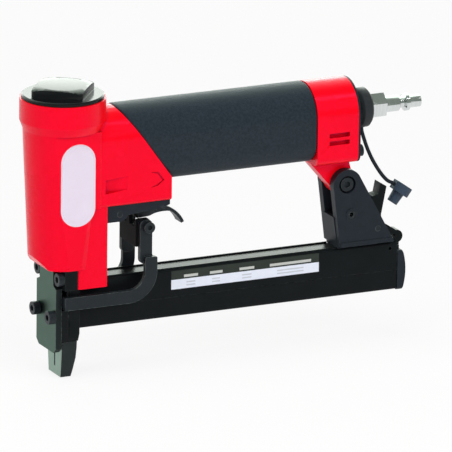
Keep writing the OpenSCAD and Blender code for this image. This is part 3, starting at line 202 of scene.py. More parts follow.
def edgeGroup():
    # how far a rounded normal leans from the true one, which is nought on flats and high on edges, broken into patches
    # by noise: the mask for edge wear with a painted edge highlight
    g, i, o = newGroup("edgeRub",
                       [("Vector", "Vector", None), ("Radius", "Float", 0.0006), ("Break", "Float", 500.0)],
                       [("Mask", "Float")])
    softened = put(g, "Bevel", samples=6)
    geo = put(g, "NewGeometry")
    dot = put(g, "VectorMath", operation="DOT_PRODUCT")
    lean = put(g, "MapRange", {"From Min": 0.985, "From Max": 0.84})
    noise = put(g, "TexNoise", {"Detail": 3.0})
    patch = put(g, "MapRange", {"From Min": 0.35, "From Max": 0.6})
    both = put(g, "Math", operation="MULTIPLY")
    wire(g, (i.outputs["Radius"], softened.inputs["Radius"]), (softened.outputs[0], dot.inputs[0]),
         (geo.outputs["Normal"], dot.inputs[1]), (dot.outputs["Value"], lean.inputs["Value"]),
         (i.outputs["Vector"], noise.inputs["Vector"]), (i.outputs["Break"], noise.inputs["Scale"]),
         (noise.outputs[0], patch.inputs["Value"]), (lean.outputs["Result"], both.inputs[0]),
         (patch.outputs["Result"], both.inputs[1]), (both.outputs[0], o.inputs["Mask"]))
    return g


def cavityGroup():
    # how much of a piece's own surface closes a point in: nought in the open, one deep in a slot; this is the mask for
    # painted shade in slots and corners
    g, i, o = newGroup("cavityShade", [("Reach", "Float", 0.003)], [("Mask", "Float")])
    around = put(g, "AmbientOcclusion", samples=8, only_local=True)
    deep = put(g, "MapRange", {"From Min": 0.9, "From Max": 0.4})
    wire(g, (i.outputs["Reach"], around.inputs["Distance"]), (around.outputs["AO"], deep.inputs["Value"]),
         (deep.outputs["Result"], o.inputs["Mask"]))
    return g


surfaceGrain, rubberPebble, toolMarks = grainGroup(), pebbleGroup(), brushGroup()
edgeRub, cavityShade = edgeGroup(), cavityGroup()
print("shader groups made")

# dark and light are the two tones that the pattern mixes; rough is its range; sheen is the tint of the gloss;
# front is a bare-metal tone on faces turned to the nose side, partly bare metal and partly painted light on that side;
# the tone down in slots and corners is painted shade, and the edge tone is edge wear with a painted edge highlight
finishes = {
    "redPaint": dict(dark=(0.88, 0.0006, 0.005), light=(0.98, 0.0013, 0.009), rough=(0.22, 0.30), spec=0.28,
                     sheen=(1.0, 0.22, 1.0), pattern="grain", fine=2600, slow=40, bump=0.012, rub=0.2,
                     rubTone=(0.97, 0.03, 0.05), deep=(0.58, 0.001, 0.012)),
    "blackCoat": dict(dark=(0.004, 0.005, 0.006), light=(0.008, 0.0095, 0.011), rough=(0.24, 0.34), spec=0.08,
                      sheen=(0.86, 1.0, 0.93), pattern="grain", fine=1800, slow=90, bump=0.03, rub=0.5,
                      rubTone=(0.06, 0.070, 0.066)),
    "capEnamel": dict(dark=(0.004, 0.005, 0.006), light=(0.008, 0.009, 0.010), rough=(0.12, 0.20), spec=0.125,
                      coat=0.05, sheen=(0.90, 1.0, 0.93), pattern="grain", fine=2200, slow=70, bump=0.008, rub=0.3,
                      rubTone=(0.06, 0.07, 0.066)),
    "blackSteel": dict(dark=(0.008, 0.011, 0.014), light=(0.017, 0.021, 0.026), rough=(0.26, 0.40), spec=0.2,
                       sheen=(0.86, 0.98, 0.96), pattern="grain", fine=1800, slow=140, bump=0.04, rub=0.7,
                       rubTone=(0.15, 0.175, 0.165)),
    "footSteel": dict(dark=(0.008, 0.011, 0.012), light=(0.017, 0.021, 0.023), rough=(0.28, 0.42), spec=0.22,
                      sheen=(0.82, 1.0, 0.90), pattern="grain", fine=1800, slow=140, bump=0.04, rub=0.8,
                      rubTone=(0.26, 0.30, 0.28), front=(0.26, 0.32, 0.285)),
    "plateSteel": dict(dark=(0.006, 0.008, 0.009), light=(0.013, 0.016, 0.018), rough=(0.26, 0.40), spec=0.15,
                       sheen=(0.82, 1.0, 0.90), pattern="grain", fine=1800, slow=140, bump=0.04, rub=0.7,
                       rubTone=(0.15, 0.175, 0.165), front=(0.062, 0.088, 0.075)),
    "bridgeBlack": dict(dark=(0.004, 0.005, 0.006), light=(0.007, 0.008, 0.009), rough=(0.46, 0.60), spec=0.04,
                        sheen=(0.86, 1.0, 0.93), pattern="grain", fine=1800, slow=140, bump=0.04, rub=0.5,
                        rubTone=(0.05, 0.058, 0.055)),
    "gripRubber": dict(dark=(0.010, 0.016, 0.024), light=(0.022, 0.030, 0.041), rough=(0.48, 0.62), spec=0.25,
                       sheen=(0.86, 1.0, 0.92), pattern="pebble", fine=1500, slow=800, bump=0.2, rub=0.0),
    "blackPlastic": dict(dark=(0.008, 0.012, 0.017), light=(0.016, 0.022, 0.030), rough=(0.36, 0.50), spec=0.15,
                         pattern="grain", fine=1300, slow=200, bump=0.06, rub=0.4, rubTone=(0.05, 0.058, 0.064)),
    "ringRubber": dict(dark=(0.016, 0.019, 0.022), light=(0.032, 0.036, 0.039), rough=(0.36, 0.50), spec=0.18,
                       pattern="grain", fine=1300, slow=200, bump=0.06, rub=0.4, rubTone=(0.06, 0.066, 0.068)),
    "plugRubber": dict(dark=(0.020, 0.035, 0.058), light=(0.040, 0.062, 0.094), rough=(0.45, 0.60), spec=0.3,
                       pattern="grain", fine=1300, slow=200, bump=0.06, rub=0.4, rubTone=(0.08, 0.09, 0.095)),
    "brightSteel": dict(dark=(0.38, 0.39, 0.40), light=(0.60, 0.61, 0.61), rough=(0.2, 0.4), metal=1.0,
                        pattern="brush", stretch=(1400, 40, 1400), bump=0.04, rub=0.3, rubTone=(0.8, 0.8, 0.8)),
    "chromePlate": dict(dark=(0.60, 0.63, 0.63), light=(0.70, 0.73, 0.72), rough=(0.10, 0.20), metal=1.0,
                        pattern="brush", stretch=(2600, 60, 60), bump=0.008, rub=0.25, rubTone=(0.9, 0.9, 0.9)),
    "sleeveAlloy": dict(dark=(0.42, 0.42, 0.41), light=(0.60, 0.60, 0.58), rough=(0.28, 0.45), metal=1.0,
                        pattern="brush", stretch=(60, 60, 1500), bump=0.04, rub=0.2, rubTone=(0.8, 0.8, 0.78)),
    "valveBrass": dict(dark=(0.48, 0.32, 0.10), light=(0.68, 0.48, 0.18), rough=(0.22, 0.38), metal=1.0,
                       pattern="brush", stretch=(60, 60, 1400), bump=0.04, rub=0.3, rubTone=(0.85, 0.68, 0.35)),
    "sealRubber": dict(dark=(0.012, 0.012, 0.013), light=(0.030, 0.031, 0.033), rough=(0.5, 0.7),
                       pattern="grain", fine=1600, slow=260, bump=0.08, rub=0.0),
    "bumperUrethane": dict(dark=(0.52, 0.26, 0.05), light=(0.68, 0.38, 0.09), rough=(0.35, 0.5),
                           pattern="grain", fine=900, slow=120, bump=0.05, rub=0.0),
}
finishSet = {"coatRough": 0.08, "bumpDepth": 0.0004, "facing": (0.75, 0.95), "spec": 0.5}  # the same for all finishes
patternGroup = {"grain": surfaceGrain, "pebble": rubberPebble, "brush": toolMarks}


def makeFinish(name, f, common):
    m, t, shader = newMaterial(name)
    shader.inputs["Metallic"].default_value = f.get("metal", 0.0)
    shader.inputs["Coat Weight"].default_value = f.get("coat", 0.0)
    shader.inputs["Coat Roughness"].default_value = common["coatRough"]
    shader.inputs["Specular IOR Level"].default_value = f.get("spec", common["spec"])
    shader.inputs["Specular Tint"].default_value = (*f.get("sheen", (1, 1, 1)), 1)
    pattern = placeGroup(t, patternGroup[f["pattern"]], *(f[k] for k in ("stretch", "fine", "slow") if k in f))
    tone = colourMix(t, pattern.outputs["Mask"], f["dark"], f["light"])
    roughAndBump(t, shader, pattern, f["rough"], f["bump"], common["bumpDepth"])
    # faces turned to the nose side get a lighter bare-metal tone: partly bare metal, partly painted light on the side
    # that the light falls on
    if "front" in f:
        geo = put(t, "NewGeometry")
        lean = put(t, "VectorMath", {1: (-1, 0, 0)}, operation="DOT_PRODUCT")
        facing = put(t, "MapRange", {"From Min": common["facing"][0], "From Max": common["facing"][1]})
        wire(t, (geo.outputs["Normal"], lean.inputs[0]), (lean.outputs["Value"], facing.inputs["Value"]),
             (facing.outputs["Result"], shader.inputs["Metallic"]))
        tone = colourMix(t, facing.outputs["Result"], tone, f["front"])
    # painted shade: a darker tone down in slots and corners, set by the cavity mask
    if "deep" in f:
        tone = colourMix(t, placeGroup(t, cavityShade).outputs["Mask"], tone, f["deep"])
    # edge wear with a painted edge highlight: a lighter tone where the edge mask is high
    if f["rub"]:
        amount = put(t, "Math", {1: f["rub"]}, operation="MULTIPLY")
        wire(t, (placeGroup(t, edgeRub).outputs["Mask"], amount.inputs[0]))
        tone = colourMix(t, amount.outputs[0], tone, f["rubTone"])
    wire(t, (tone, shader.inputs["Base Color"]))
    return m


finish = {name: makeFinish(name, f, finishSet) for name, f in finishes.items()}
slotFinish = {
    "red_paint": "redPaint", "black_coat": "blackCoat", "black_steel": "blackSteel", "grip_rubber": "gripRubber",
    "black_plastic": "blackPlastic", "bright_steel": "brightSteel", "chrome_plate": "chromePlate",
    "sleeve_alloy": "sleeveAlloy", "valve_brass": "valveBrass", "seal_rubber": "sealRubber",
    "bumper_urethane": "bumperUrethane",
}
# nodes that look a little different from the rest of their slot
nodeFinish = {"cylinder_cap": "capEnamel", "contact_foot": "footSteel", "front_plate": "plateSteel",
              "driver_guide": "blackCoat", "safety_bridge": "bridgeBlack", "latch_lever": "blackCoat",
              "dust_plug": "plugRubber", "tether_ring": "ringRubber"}
slotOf = {s["node"]: s["material_slot"] for s in frame["record"]["subparts"]}
bodyOf = {n: b for b, nodes in frame["record"]["behaviour"]["bodies"].items() for n in nodes}


def finishOf(node):
    return finish[nodeFinish.get(node, slotFinish[slotOf[node]])]


for node, obj in frame["nodes"].items():
    obj.data.materials.clear()
    obj.data.materials.append(finishOf(node))
print("finishes:", len(finish))


def addPiece(name, mesh, body, material, replaces=()):
    obj = bpy.data.objects.new(name, mesh)
    scene.collection.objects.link(obj)
    obj.data.materials.clear()
    obj.data.materials.append(material)
    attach(obj, body)
    if replaces:
        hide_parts(*replaces)
    return obj


def gridMesh(name, points, closedU=False, closedV=False):
    # points is a grid of rows (v) and columns (u); closed directions join their last line to their first
    nv, nu = points.shape[:2]
    v = np.arange(nv if closedV else nv - 1)
    u = np.arange(nu if closedU else nu - 1)
    vv, uu = np.meshgrid(v, u, indexing="ij")
    v1, u1 = (vv + 1) % nv, (uu + 1) % nu
    faces = np.stack([vv * nu + uu, vv * nu + u1, v1 * nu + u1, v1 * nu + uu], -1).reshape(-1, 4)
    mesh = bpy.data.meshes.new(name)
    mesh.from_pydata(points.reshape(-1, 3).tolist(), [], faces.tolist())
    mesh.polygons.foreach_set("use_smooth", np.ones(len(faces), bool))
    return mesh


def reshape(mesh, mergeGap, *changes):
    # merges doubles, then makes each change on the same mesh
    b = bmesh.new()
    b.from_mesh(mesh)
    bmesh.ops.remove_doubles(b, verts=b.verts, dist=mergeGap)
    for change in changes:
        change(b)
    b.to_mesh(mesh)
    b.free()


def tidyMesh(mesh):
    # merges doubles at poles and turns the faces outwards
    reshape(mesh, gridGap, lambda b: bmesh.ops.recalc_face_normals(b, faces=b.faces))


def evenSteps(line, count, closed=False):
    # points at even steps of length along a line of points, and its whole length
    run = np.r_[0, np.cumsum(np.linalg.norm(np.diff(line, axis=0), axis=1))]
    even = np.linspace(0, run[-1], count, endpoint=not closed)
    return np.stack([np.interp(even, run, column) for column in line.T], 1), run[-1]


def boxSection(count, power):
    # cosine and sine round a circle, each to a power below one, which squares it up to a rounded box
    a = np.linspace(0, 2 * math.pi, count, endpoint=False)
    return [np.sign(f) * np.abs(f)**power for f in (np.cos(a), np.sin(a))]


def closedRun(ends, count):
    # steps from end to end with each end twice, and how full a section is there: nought where it closes to a point
    return np.r_[ends[0], np.linspace(*ends, count), ends[1]], np.r_[0, np.ones(count), 0]


def nodeCopy(node, *changes):
    # a node's mesh with its doubles merged, shaded smooth
    mesh = frame["nodes"][node].data.copy()
    reshape(mesh, nodeGap, *changes)
    mesh.polygons.foreach_set("use_smooth", np.ones(len(mesh.polygons), bool))
    return mesh


def replaceNode(node, mesh):
    # the copy's name is the node's in one word; a one-word node gets an ending, so that the two differ
    first, *rest = node.split("_")
    name = first + ("".join(w.capitalize() for w in rest) or "Blade")
    return addPiece(name, mesh, bodyOf[node], finishOf(node), [node])


# copies of CAD nodes, merged, with their sharp edges broken: width of the round in mm
roundSet = {
    "head_casting": 0.5, "cylinder_cap": 0.5, "handle_end": 0.55, "end_plate": 0.25, "front_plate": 0.4,
    "driver_guide": 0.3, "contact_foot": 0.35, "left_safety_arm": 0.4, "right_safety_arm": 0.4, "safety_bridge": 0.3,
    "trigger_housing": 0.35, "trigger": 0.3, "magazine_housing": 0.3, "magazine_rail": 0.3, "rail_end_cap": 0.5,
    "rear_bracket": 0.4, "latch_lever": 0.5, "tether_ring": 0.4, "dust_plug": 0.5, "air_plug": 0.2,
    "nose_screws": 0.25, "front_plate_screws": 0.3, "bracket_bolt": 0.25, "safety_screws": 0.25,
    "end_plate_screws": 0.25,
}
edgeAngle = {"head_casting": 14, "others": 32}  # degrees past which an edge counts as sharp
flatAngle = 0.4  # degrees below which two faces are one flat
bevelSteps = {"edge": 2, "corner": 6}
cornerSet = {"left_safety_arm": 2.8, "right_safety_arm": 2.8}  # wide rounds at the top end of a bar, in mm


def roundTop(b, radius):
    # rounds the two corners at the top end of a bar's outer face
    near = 1e-5
    outer = max(abs(v.co.y) for v in b.verts)
    top = max(v.co.z for v in b.verts if abs(abs(v.co.y) - outer) < near)
    corners = [e for e in b.edges if all(abs(v.co.z - top) < near for v in e.verts)
               and abs(e.verts[0].co.x - e.verts[1].co.x) < near]
    bmesh.ops.bevel(b, geom=corners, offset=radius * mm, segments=bevelSteps["corner"], profile=0.5, affect="EDGES",
                    clamp_overlap=True)


def roundedCopy(node, width):
    def joinFlats(b):
        bmesh.ops.dissolve_limit(b, angle_limit=math.radians(flatAngle), verts=b.verts, edges=b.edges)
        if node in cornerSet:
            roundTop(b, cornerSet[node])

    angle = math.radians(edgeAngle.get(node, edgeAngle["others"]))
    mesh = nodeCopy(node, joinFlats)
    mesh.set_sharp_from_angle(angle=angle)
    obj = replaceNode(node, mesh)
    bevel = obj.modifiers.new("roundEdges", "BEVEL")
    bevel.width = width * mm
    bevel.segments = bevelSteps["edge"]
    bevel.limit_method = "ANGLE"
    bevel.angle_limit = angle
    bevel.use_clamp_overlap = True
    bevel.harden_normals = True
    return obj


rounded = {node: roundedCopy(node, width) for node, width in roundSet.items()}
print("rounded copies:", len(rounded))


def springCopy(node, end):
    # a copy of a packed coil that its joint shortens towards the end that the record holds still; that end is worked
    # out here but not used, and the copy is not shortened
    obj = replaceNode(node, nodeCopy(node))
    low, high = (np.array(c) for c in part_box(node))
    along = "xyz".index(end["mode"][-1])
    held = (low + high) / 2
    held[along] = end["fixed_end_" + "xyz"[along] + "_m"]
    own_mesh(obj)
    return obj


springs = [springCopy(end["node"], end) for joint in frame["record"]["behaviour"]["joints"]
           for end in joint.get("deforming_nodes", [])]
print("springs that shorten:", len(springs))

# tether strap, the one cord: seen whole, from its ring to the dust plug
strapSet = {
    "diameter": 0.002,
    "points": 24,
    "fine": 400,  # steps in which the cubic is measured
    "route": [(168.8, 112.4), (169.1, 110.0), (170.0, 107.0), (171.1, 103.8), (172.3, 100.6), (173.8, 97.2),
              (175.6, 93.6), (177.6, 90.2), (179.7, 87.0), (182.0, 84.0), (184.5, 81.5), (186.887, 80.315),
              (188.181, 79.374)],
}


def strapCurve(s):
    # a cubic through the route's points, read at even steps of its length
    p = np.array(s["route"]) * mm
    p = np.stack([p[:, 0], np.zeros(len(p)), p[:, 1]], 1)
    ends = np.vstack([2 * p[0] - p[1], p, 2 * p[-1] - p[-2]])
    t = np.linspace(0, len(p) - 1, s["fine"])
    k = np.minimum(t.astype(int), len(p) - 2)
    w = (t - k)[:, None]
    a, b, c, d = ends[k], ends[k + 1], ends[k + 2], ends[k + 3]
    fine = 0.5 * (2 * b + (c - a) * w + (2 * a - 5 * b + 4 * c - d) * w**2 + (3 * b - a - 3 * c + d) * w**3)
    return evenSteps(fine, s["points"])


strapPoints, strapLength = strapCurve(strapSet)
curve = bpy.data.curves.new("tetherStrap", "CURVE")
curve.dimensions = "3D"
spline = curve.splines.new("POLY")
spline.points.add(len(strapPoints) - 1)
spline.points.foreach_set("co", np.c_[strapPoints, np.ones(len(strapPoints))].ravel())
curve.bevel_depth = strapSet["diameter"] / 2
curve.bevel_resolution = 4
curve.use_fill_caps = True
strap = addPiece("tetherStrap", curve, "tool", finish["blackPlastic"], ["tether_strap"])
print("tether strap: %.1f mm" % (strapLength / mm))

# grip sleeve, with a small lip rolled over at each end
gripSet = {"r": 17.0, "drop": 23.4, "corner": 11.0, "wall": 1.95, "axisZ": 123.2, "seamX": 39.2, "seamAngle": 36.0,
           "shelfX": 54.0, "rearX": 136.0, "lip": 1.7, "lipSteps": 7, "topSteps": 80, "cornerSteps": 24,
           "around": 128, "along": 60}


def archSection(s, inset):
    # half circle on top, straight sides, quarter rounds and a flat bottom, all drawn in by the inset
    r, drop, corner = (s[k] - inset for k in ("r", "drop", "corner"))
    a = np.linspace(0, math.pi, s["topSteps"])
    top = np.stack([r * np.cos(a), r * np.sin(a)], 1)
    q = np.linspace(math.pi, 1.5 * math.pi, s["cornerSteps"])
    left = np.stack([corner - r + corner * np.cos(q), corner - drop + corner * np.sin(q)], 1)
    right = np.stack([-left[::-1, 0], left[::-1, 1]], 1)
    return evenSteps(np.vstack([top, left, right, top[:1]]), s["around"], closed=True)[0]


def gripSurface(s):
    # the arch section carried from the sloped seam to the rear; each end rolls over a small lip down to the inner wall
    turn = np.linspace(0, 0.5 * math.pi, s["lipSteps"])
    lip, wall, rim = s["lip"], s["wall"], s["lipSteps"] + 1
    part = np.r_[np.zeros(rim), np.linspace(0, 1, s["along"] + 2)[1:-1], np.ones(rim)]
    middle = lip * (1 - 2 * part[rim:-rim])
    shift = np.r_[0, lip * (1 - np.cos(turn)), middle, -lip * (1 - np.sin(turn)), 0]
    inset = np.r_[wall, lip * (1 - np.sin(turn)), np.zeros(s["along"]), lip * (1 - np.cos(turn)), wall]
    outer, inner = archSection(s, 0), archSection(s, wall)
    mix = (inset / wall)[:, None, None]
    yz = outer[None] * (1 - mix) + inner[None] * mix
    z = yz[..., 1] + s["axisZ"]
    front = np.minimum(s["seamX"] + (s["axisZ"] - z) * math.tan(math.radians(s["seamAngle"])), s["shelfX"])
    x = front * (1 - part[:, None]) + s["rearX"] * part[:, None] + shift[:, None]
    return np.stack([x, yz[..., 0], z], -1) * mm


gripMesh = gridMesh("gripSkin", gripSurface(gripSet), closedU=True, closedV=True)
tidyMesh(gripMesh)
addPiece("gripSkin", gripMesh, "tool", finish["gripRubber"], ["grip_sleeve"])
print("grip skin:", len(gripMesh.polygons), "faces")

# low lips along the top edges of the magazine, between the leg and the bracket
lipSet = {"x": (19.4, 152.4), "midY": 5.75, "z": 50.2, "width": 1.1, "height": 0.8, "power": 0.5,
          "along": 40, "around": 20}


def lipSurface(s, side):
    # a rounded bead carried along the magazine; at each end it shrinks to a point
    c, k = boxSection(s["around"], s["power"])
    x, full = closedRun(s["x"], s["along"])
    y = side * s["midY"] + full[:, None] * 0.5 * s["width"] * c
    z = s["z"] + full[:, None] * 0.5 * s["height"] * (1 + k)
    return np.stack([np.broadcast_to(x[:, None], y.shape), y, z], -1) * mm


for name, side in (("leftLip", -1), ("rightLip", 1)):
    lipMesh = gridMesh(name, lipSurface(lipSet, side), closedU=True)
    tidyMesh(lipMesh)
    addPiece(name, lipMesh, "tool", finish["blackCoat"])

# web below the trigger's blade, from behind the bridge to the bent tail, in mm
webSet = {"x": (40.2, 60.5), "blade": (82.9, 84.6), "tailX": 51.0, "bend": 17.5, "narrowX": (46.5, 51.0),
          "half": (5.3, 3.6), "depth": 3.9, "power": 0.35, "sharp": 40, "along": 48, "around": 40}


def webSurface(s):
    # rounded box sections along x: the top keeps to the middle of the blade and drops with the bend of the tail, the
    # depth falls off with the square of the way along, and each end shrinks to a point
    c, k = boxSection(s["around"], s["power"])
    x, full = closedRun(s["x"], s["along"])
    t = (x - s["x"][0]) / (s["x"][1] - s["x"][0])
    drop = s["bend"] - np.sqrt(s["bend"]**2 - np.maximum(x - s["tailX"], 0)**2)
    top = np.mean(s["blade"]) - drop
    low = s["blade"][0] - drop - s["depth"] * (1 - t**2)
    n = np.clip((x - s["narrowX"][0]) / (s["narrowX"][1] - s["narrowX"][0]), 0, 1)
    half = s["half"][0] + (s["half"][1] - s["half"][0]) * n * n * (3 - 2 * n)
    y = (full * half)[:, None] * c
    z = ((top + low) / 2)[:, None] + (full * (top - low) / 2)[:, None] * k
    return np.stack([np.broadcast_to(x[:, None], y.shape), y, z], -1) * mm


webMesh = gridMesh("triggerWeb", webSurface(webSet), closedU=True)
tidyMesh(webMesh)
webMesh.set_sharp_from_angle(angle=math.radians(webSet["sharp"]))
addPiece("triggerWeb", webMesh, bodyOf["trigger"], finishOf("trigger"))
print("magazine lips and trigger web placed")

# plain badge on the flat side of the head; edge lists the rings of its border, and step how proud it is at stepAt
badgeSet = {"midX": 1.35, "midZ": 104.1, "halfW": 9.6, "halfH": 21.8, "corner": 9.4, "face": 17.0, "lift": 0.35,
            "rings": 26, "inner": 0.88, "edge": (0.89, 0.90, 0.915, 0.93, 0.96, 0.985, 0.995, 1.0),
            "stepAt": (0, 0.885, 0.90, 0.915, 0.93, 0.965, 0.99, 1.0), "step": (1, 1, 0.7, 0.7, 1, 1, 0.75, -0.1),
            "around": 144, "cornerSteps": 40, "white": (0.81, 0.73, 0.85), "shade": (0.75, 0.66, 0.78), "coat": 0.2,
            "fine": 1400, "slow": 110, "rough": (0.28, 0.42), "bump": 0.03, "bumpDepth": 0.0003}


def stadiumRing(s):
    # four quarter rounds joined by straight sides
    q = np.linspace(0, 0.5 * math.pi, s["cornerSteps"])
    r = s["corner"]
    cx, cy = s["halfW"] - r, s["halfH"] - r
    turns = ((0, cx, cy), (0.5 * math.pi, -cx, cy), (math.pi, -cx, -cy), (1.5 * math.pi, cx, -cy))
    ring = np.vstack([np.stack([sx + r * np.cos(q + k), sy + r * np.sin(q + k)], 1) for k, sx, sy in turns])
    return evenSteps(np.vstack([ring, ring[:1]]), s["around"], closed=True)[0]


def badgeSurface(s):
    # a rounded strip scaled in from its rim to its middle, a third of a millimetre proud, with a shallow border groove
    r = np.r_[np.linspace(0, s["inner"], s["rings"]), s["edge"]]
    step = np.interp(r, s["stepAt"], s["step"])
    flat = r[:, None, None] * stadiumRing(s)[None]
    y = -s["face"] - s["lift"] * np.broadcast_to(step[:, None], flat.shape[:2])
    return np.stack([s["midX"] + flat[..., 0], y, s["midZ"] + flat[..., 1]], -1) * mm


def enamelFinish(s):
    # pale enamel: slow blotches between two whites, a trace of peel
    m, t, shader = newMaterial("badgeEnamel")
    shader.inputs["Coat Weight"].default_value = s["coat"]
    grain = placeGroup(t, surfaceGrain, s["fine"], s["slow"])
    wire(t, (colourMix(t, grain.outputs["Mask"], s["shade"], s["white"]), shader.inputs["Base Color"]))
    roughAndBump(t, shader, grain, s["rough"], s["bump"], s["bumpDepth"])
    return m


badgeMesh = gridMesh("plainBadge", badgeSurface(badgeSet), closedU=True)
tidyMesh(badgeMesh)
addPiece("plainBadge", badgeMesh, "tool", enamelFinish(badgeSet))

# plain label on the magazine: a dark header band over a pale one, with bare bars in three rows; a row has its lower
# and upper edge, its tone, the share of that tone, and how far its bars draw in at each end, as a share of length
labelSet = {"x": (58.8, 142.6), "z": (39.2, 49.2), "y": -6.5, "lift": 0.12, "sink": 0.02, "across": 160, "up": 24,
            "rimU": (0.0015, 0.004), "rimV": (0.012, 0.03), "header": 0.52,
            "bars": [(0.085, 0.18), (0.26, 0.345), (0.46, 0.56), (0.665, 0.945)],
            "rows": [(0.60, 0.74, (0.55, 0.57, 0.54), 1.0, 0.0), (0.30, 0.37, (0.40, 0.42, 0.46), 0.55, 0.18),
                     (0.14, 0.21, (0.40, 0.42, 0.46), 0.55, 0.18)],
            "paper": ((0.72, 0.77, 0.88), (0.82, 0.86, 0.96)), "band": ((0.016, 0.022, 0.018), (0.034, 0.043, 0.035)),
            "spec": 0.18, "fine": 2200, "slow": 160, "rough": (0.32, 0.48), "bump": 0.02, "bumpDepth": 0.0002}


def sheetSteps(rim, count):
    # even steps across a sheet from nought to one, with closer ones at its rim
    return np.r_[0, rim[0], np.linspace(rim[1], 1 - rim[1], count), 1 - rim[0], 1]


def labelSurface(s):
    # a flat sheet a tenth of a millimetre proud, its rim turned in to the magazine's wall
    uu, vv = np.meshgrid(sheetSteps(s["rimU"], s["across"]), sheetSteps(s["rimV"], s["up"]))
    rimU, rimV = (np.minimum(w, 1 - w) / rim[1] for w, rim in ((uu, s["rimU"]), (vv, s["rimV"])))
    rim = np.minimum(rimU, rimV).clip(0, 1)
    x = s["x"][0] + uu * (s["x"][1] - s["x"][0])
    z = s["z"][0] + vv * (s["z"][1] - s["z"][0])
    y = s["y"] + s["sink"] - (s["lift"] + s["sink"]) * np.sin(0.5 * math.pi * rim)
    return np.stack([x, y, z], -1) * mm, np.stack([uu, vv], -1)


def addUv(mesh, uv):
    layer = mesh.uv_layers.new(name="sheet")
    loops = np.zeros(len(mesh.loops), np.int32)
    mesh.loops.foreach_get("vertex_index", loops)
    layer.data.foreach_set("uv", uv.reshape(-1, 2)[loops].astype(np.float32).ravel())


def barMask(t, uvSplit, u0, u1, v0, v1):
    # one where the sheet's own coordinates lie inside a bar
    parts = []
    for axis, a, b in (("X", u0, u1), ("Y", v0, v1)):
        near = put(t, "Math", {1: (a + b) / 2, 2: (b - a) / 2}, operation="COMPARE")
        wire(t, (uvSplit.outputs[axis], near.inputs[0]))
        parts.append(near)
    both = put(t, "Math", operation="MULTIPLY")
    wire(t, (parts[0].outputs[0], both.inputs[0]), (parts[1].outputs[0], both.inputs[1]))
    return both.outputs[0]


def labelFinish(s):
    m, t, shader = newMaterial("labelPrint")
    shader.inputs["Specular IOR Level"].default_value = s["spec"]
    uv = put(t, "UVMap", uv_map="sheet")
    split = put(t, "SeparateXYZ")
    grain = placeGroup(t, surfaceGrain, s["fine"], s["slow"])
    paper, band = (colourMix(t, grain.outputs["Mask"], *s[k]) for k in ("paper", "band"))
    head = put(t, "Math", {1: s["header"]}, operation="GREATER_THAN")
    wire(t, (uv.outputs[0], split.inputs[0]), (split.outputs["Y"], head.inputs[0]))
    colour = colourMix(t, head.outputs[0], paper, band)
    for u0, u1 in s["bars"]:
        for v0, v1, tone, share, cut in s["rows"]:
            inset = cut * (u1 - u0)
            soft = put(t, "Math", {1: share}, operation="MULTIPLY")
            wire(t, (barMask(t, split, u0 + inset, u1 - inset, v0, v1), soft.inputs[0]))
            colour = colourMix(t, soft.outputs[0], colour, tone)
    wire(t, (colour, shader.inputs["Base Color"]))
    roughAndBump(t, shader, grain, s["rough"], s["bump"], s["bumpDepth"])
    return m


labelPoints, labelUv = labelSurface(labelSet)
labelMesh = gridMesh("magazineLabel", labelPoints)
addUv(labelMesh, labelUv)
addPiece("magazineLabel", labelMesh, "tool", labelFinish(labelSet))
print("badge and label placed")

# pale paper floor; white is the share of plain white that the camera sees over its shading
floorSet = {"z": -0.0006, "half": 6.0, "tone": (0.93, 0.93, 0.93), "rough": 0.9, "white": 0.86}


def addFloor(s):
    mesh = bpy.data.meshes.new("paleFloor")
    h, z = s["half"], s["z"]
    mesh.from_pydata([(-h, -h, z), (h, -h, z), (h, h, z), (-h, h, z)], [], [(0, 1, 2, 3)])
    obj = bpy.data.objects.new("paleFloor", mesh)
    scene.collection.objects.link(obj)
    m, t, paper = newMaterial("floorPaper")
    paper.inputs["Base Color"].default_value = (*s["tone"], 1)
    paper.inputs["Roughness"].default_value = s["rough"]
    paper.inputs["Specular IOR Level"].default_value = 0.0
    path = put(t, "LightPath")
    white = put(t, "Emission", {"Strength": 1.0})
    seen, either = put(t, "Math", operation="MAXIMUM"), put(t, "Math", operation="MAXIMUM")
    share = put(t, "Math", {1: s["white"]}, operation="MULTIPLY")
    mix = put(t, "MixShader")
    wire(t, (path.outputs["Is Camera Ray"], seen.inputs[0]), (path.outputs["Is Transmission Ray"], seen.inputs[1]),
         (seen.outputs[0], either.inputs[0]), (path.outputs["Is Glossy Ray"], either.inputs[1]),
         (either.outputs[0], share.inputs[0]), (share.outputs[0], mix.inputs[0]),
         (paper.outputs[0], mix.inputs[1]), (white.outputs[0], mix.inputs[2]),
         (mix.outputs[0], t.nodes["Material Output"].inputs["Surface"]))
    mesh.materials.append(m)


# place, size and power of each soft panel, all aimed at the middle of the tool; inGloss ones show in reflections
lightSet = {
    "topPanel": dict(at=(-0.15, -0.05, 1.2), size=(0.9, 0.9), power=8.5),
    "nosePanel": dict(at=(-1.0, -0.35, 0.55), size=(0.8, 0.9), power=4.2),
    "sidePanel": dict(at=(0.35, -1.25, 0.8), size=(1.4, 0.8), power=12.7),
    "backPanel": dict(at=(0.64, 1.15, 0.45), size=(1.6, 0.5), power=6.0, inGloss=True),
    "sparkPanel": dict(at=(0.70, -0.66, 1.28), size=(0.16, 0.16), power=1.0, inGloss=True),
}
lightAim = Vector((0.09, 0, 0.08))
# strength of the sky for plain rays, low to high, and of the backdrop in gloss, before and behind the tool; rise and
# depth are the ray directions between which each of the two changes
skySet = {"low": 0.08, "high": 0.5, "rise": (-0.1, 0.9), "before": 0.3, "behind": 2.7, "depth": (-0.05, 0.78),
          "tint": (0.88, 1.0, 0.89)}


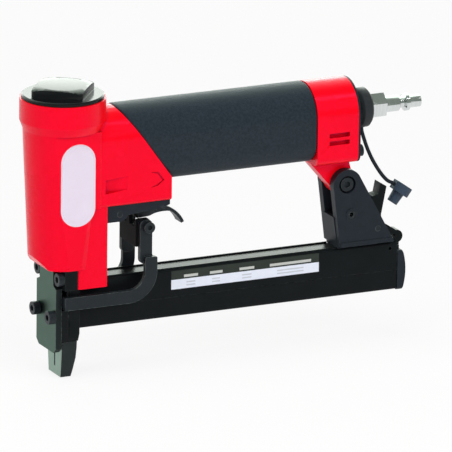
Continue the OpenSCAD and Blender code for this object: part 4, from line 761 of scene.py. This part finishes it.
def addLights(panels, aim, sky):
    for name, s in panels.items():
        data = bpy.data.lights.new(name, "AREA")
        data.shape = "RECTANGLE"
        data.size, data.size_y = s["size"]
        data.energy = s["power"]
        obj = bpy.data.objects.new(name, data)
        obj.location = s["at"]
        obj.rotation_mode = "QUATERNION"
        obj.rotation_quaternion = (aim - Vector(s["at"])).to_track_quat("-Z", "Y")
        obj.visible_camera = False
        obj.visible_glossy = s.get("inGloss", False)
        scene.collection.objects.link(obj)
    world = bpy.data.worlds.new("studio")
    scene.world = world
    world.use_nodes = True
    t = world.node_tree
    soft = t.nodes["Background"]
    glow = put(t, "Background", {"Color": (*sky["tint"], 1)})
    white = put(t, "Background", {"Color": (1, 1, 1, 1), "Strength": 1.0})
    where = put(t, "TexCoord")
    split = put(t, "SeparateXYZ")
    rise = put(t, "MapRange", {"From Min": sky["rise"][0], "From Max": sky["rise"][1],
                               "To Min": sky["low"], "To Max": sky["high"]})
    depth = put(t, "MapRange", {"From Min": sky["depth"][0], "From Max": sky["depth"][1],
                                "To Min": sky["before"], "To Max": sky["behind"]}, interpolation_type="SMOOTHSTEP")
    path = put(t, "LightPath")
    seen = put(t, "Math", operation="MAXIMUM")
    gloss, mix = put(t, "MixShader"), put(t, "MixShader")
    wire(t, (where.outputs["Generated"], split.inputs[0]), (split.outputs["Z"], rise.inputs["Value"]),
         (rise.outputs["Result"], soft.inputs["Strength"]), (split.outputs["Y"], depth.inputs["Value"]),
         (depth.outputs["Result"], glow.inputs["Strength"]), (path.outputs["Is Glossy Ray"], gloss.inputs[0]),
         (soft.outputs[0], gloss.inputs[1]), (glow.outputs[0], gloss.inputs[2]),
         (path.outputs["Is Camera Ray"], seen.inputs[0]), (path.outputs["Is Transmission Ray"], seen.inputs[1]),
         (seen.outputs[0], mix.inputs[0]), (gloss.outputs[0], mix.inputs[1]), (white.outputs[0], mix.inputs[2]),
         (mix.outputs[0], t.nodes["World Output"].inputs["Surface"]))


addFloor(floorSet)
addLights(lightSet, lightAim, skySet)
print("floor and", len(lightSet), "lights")
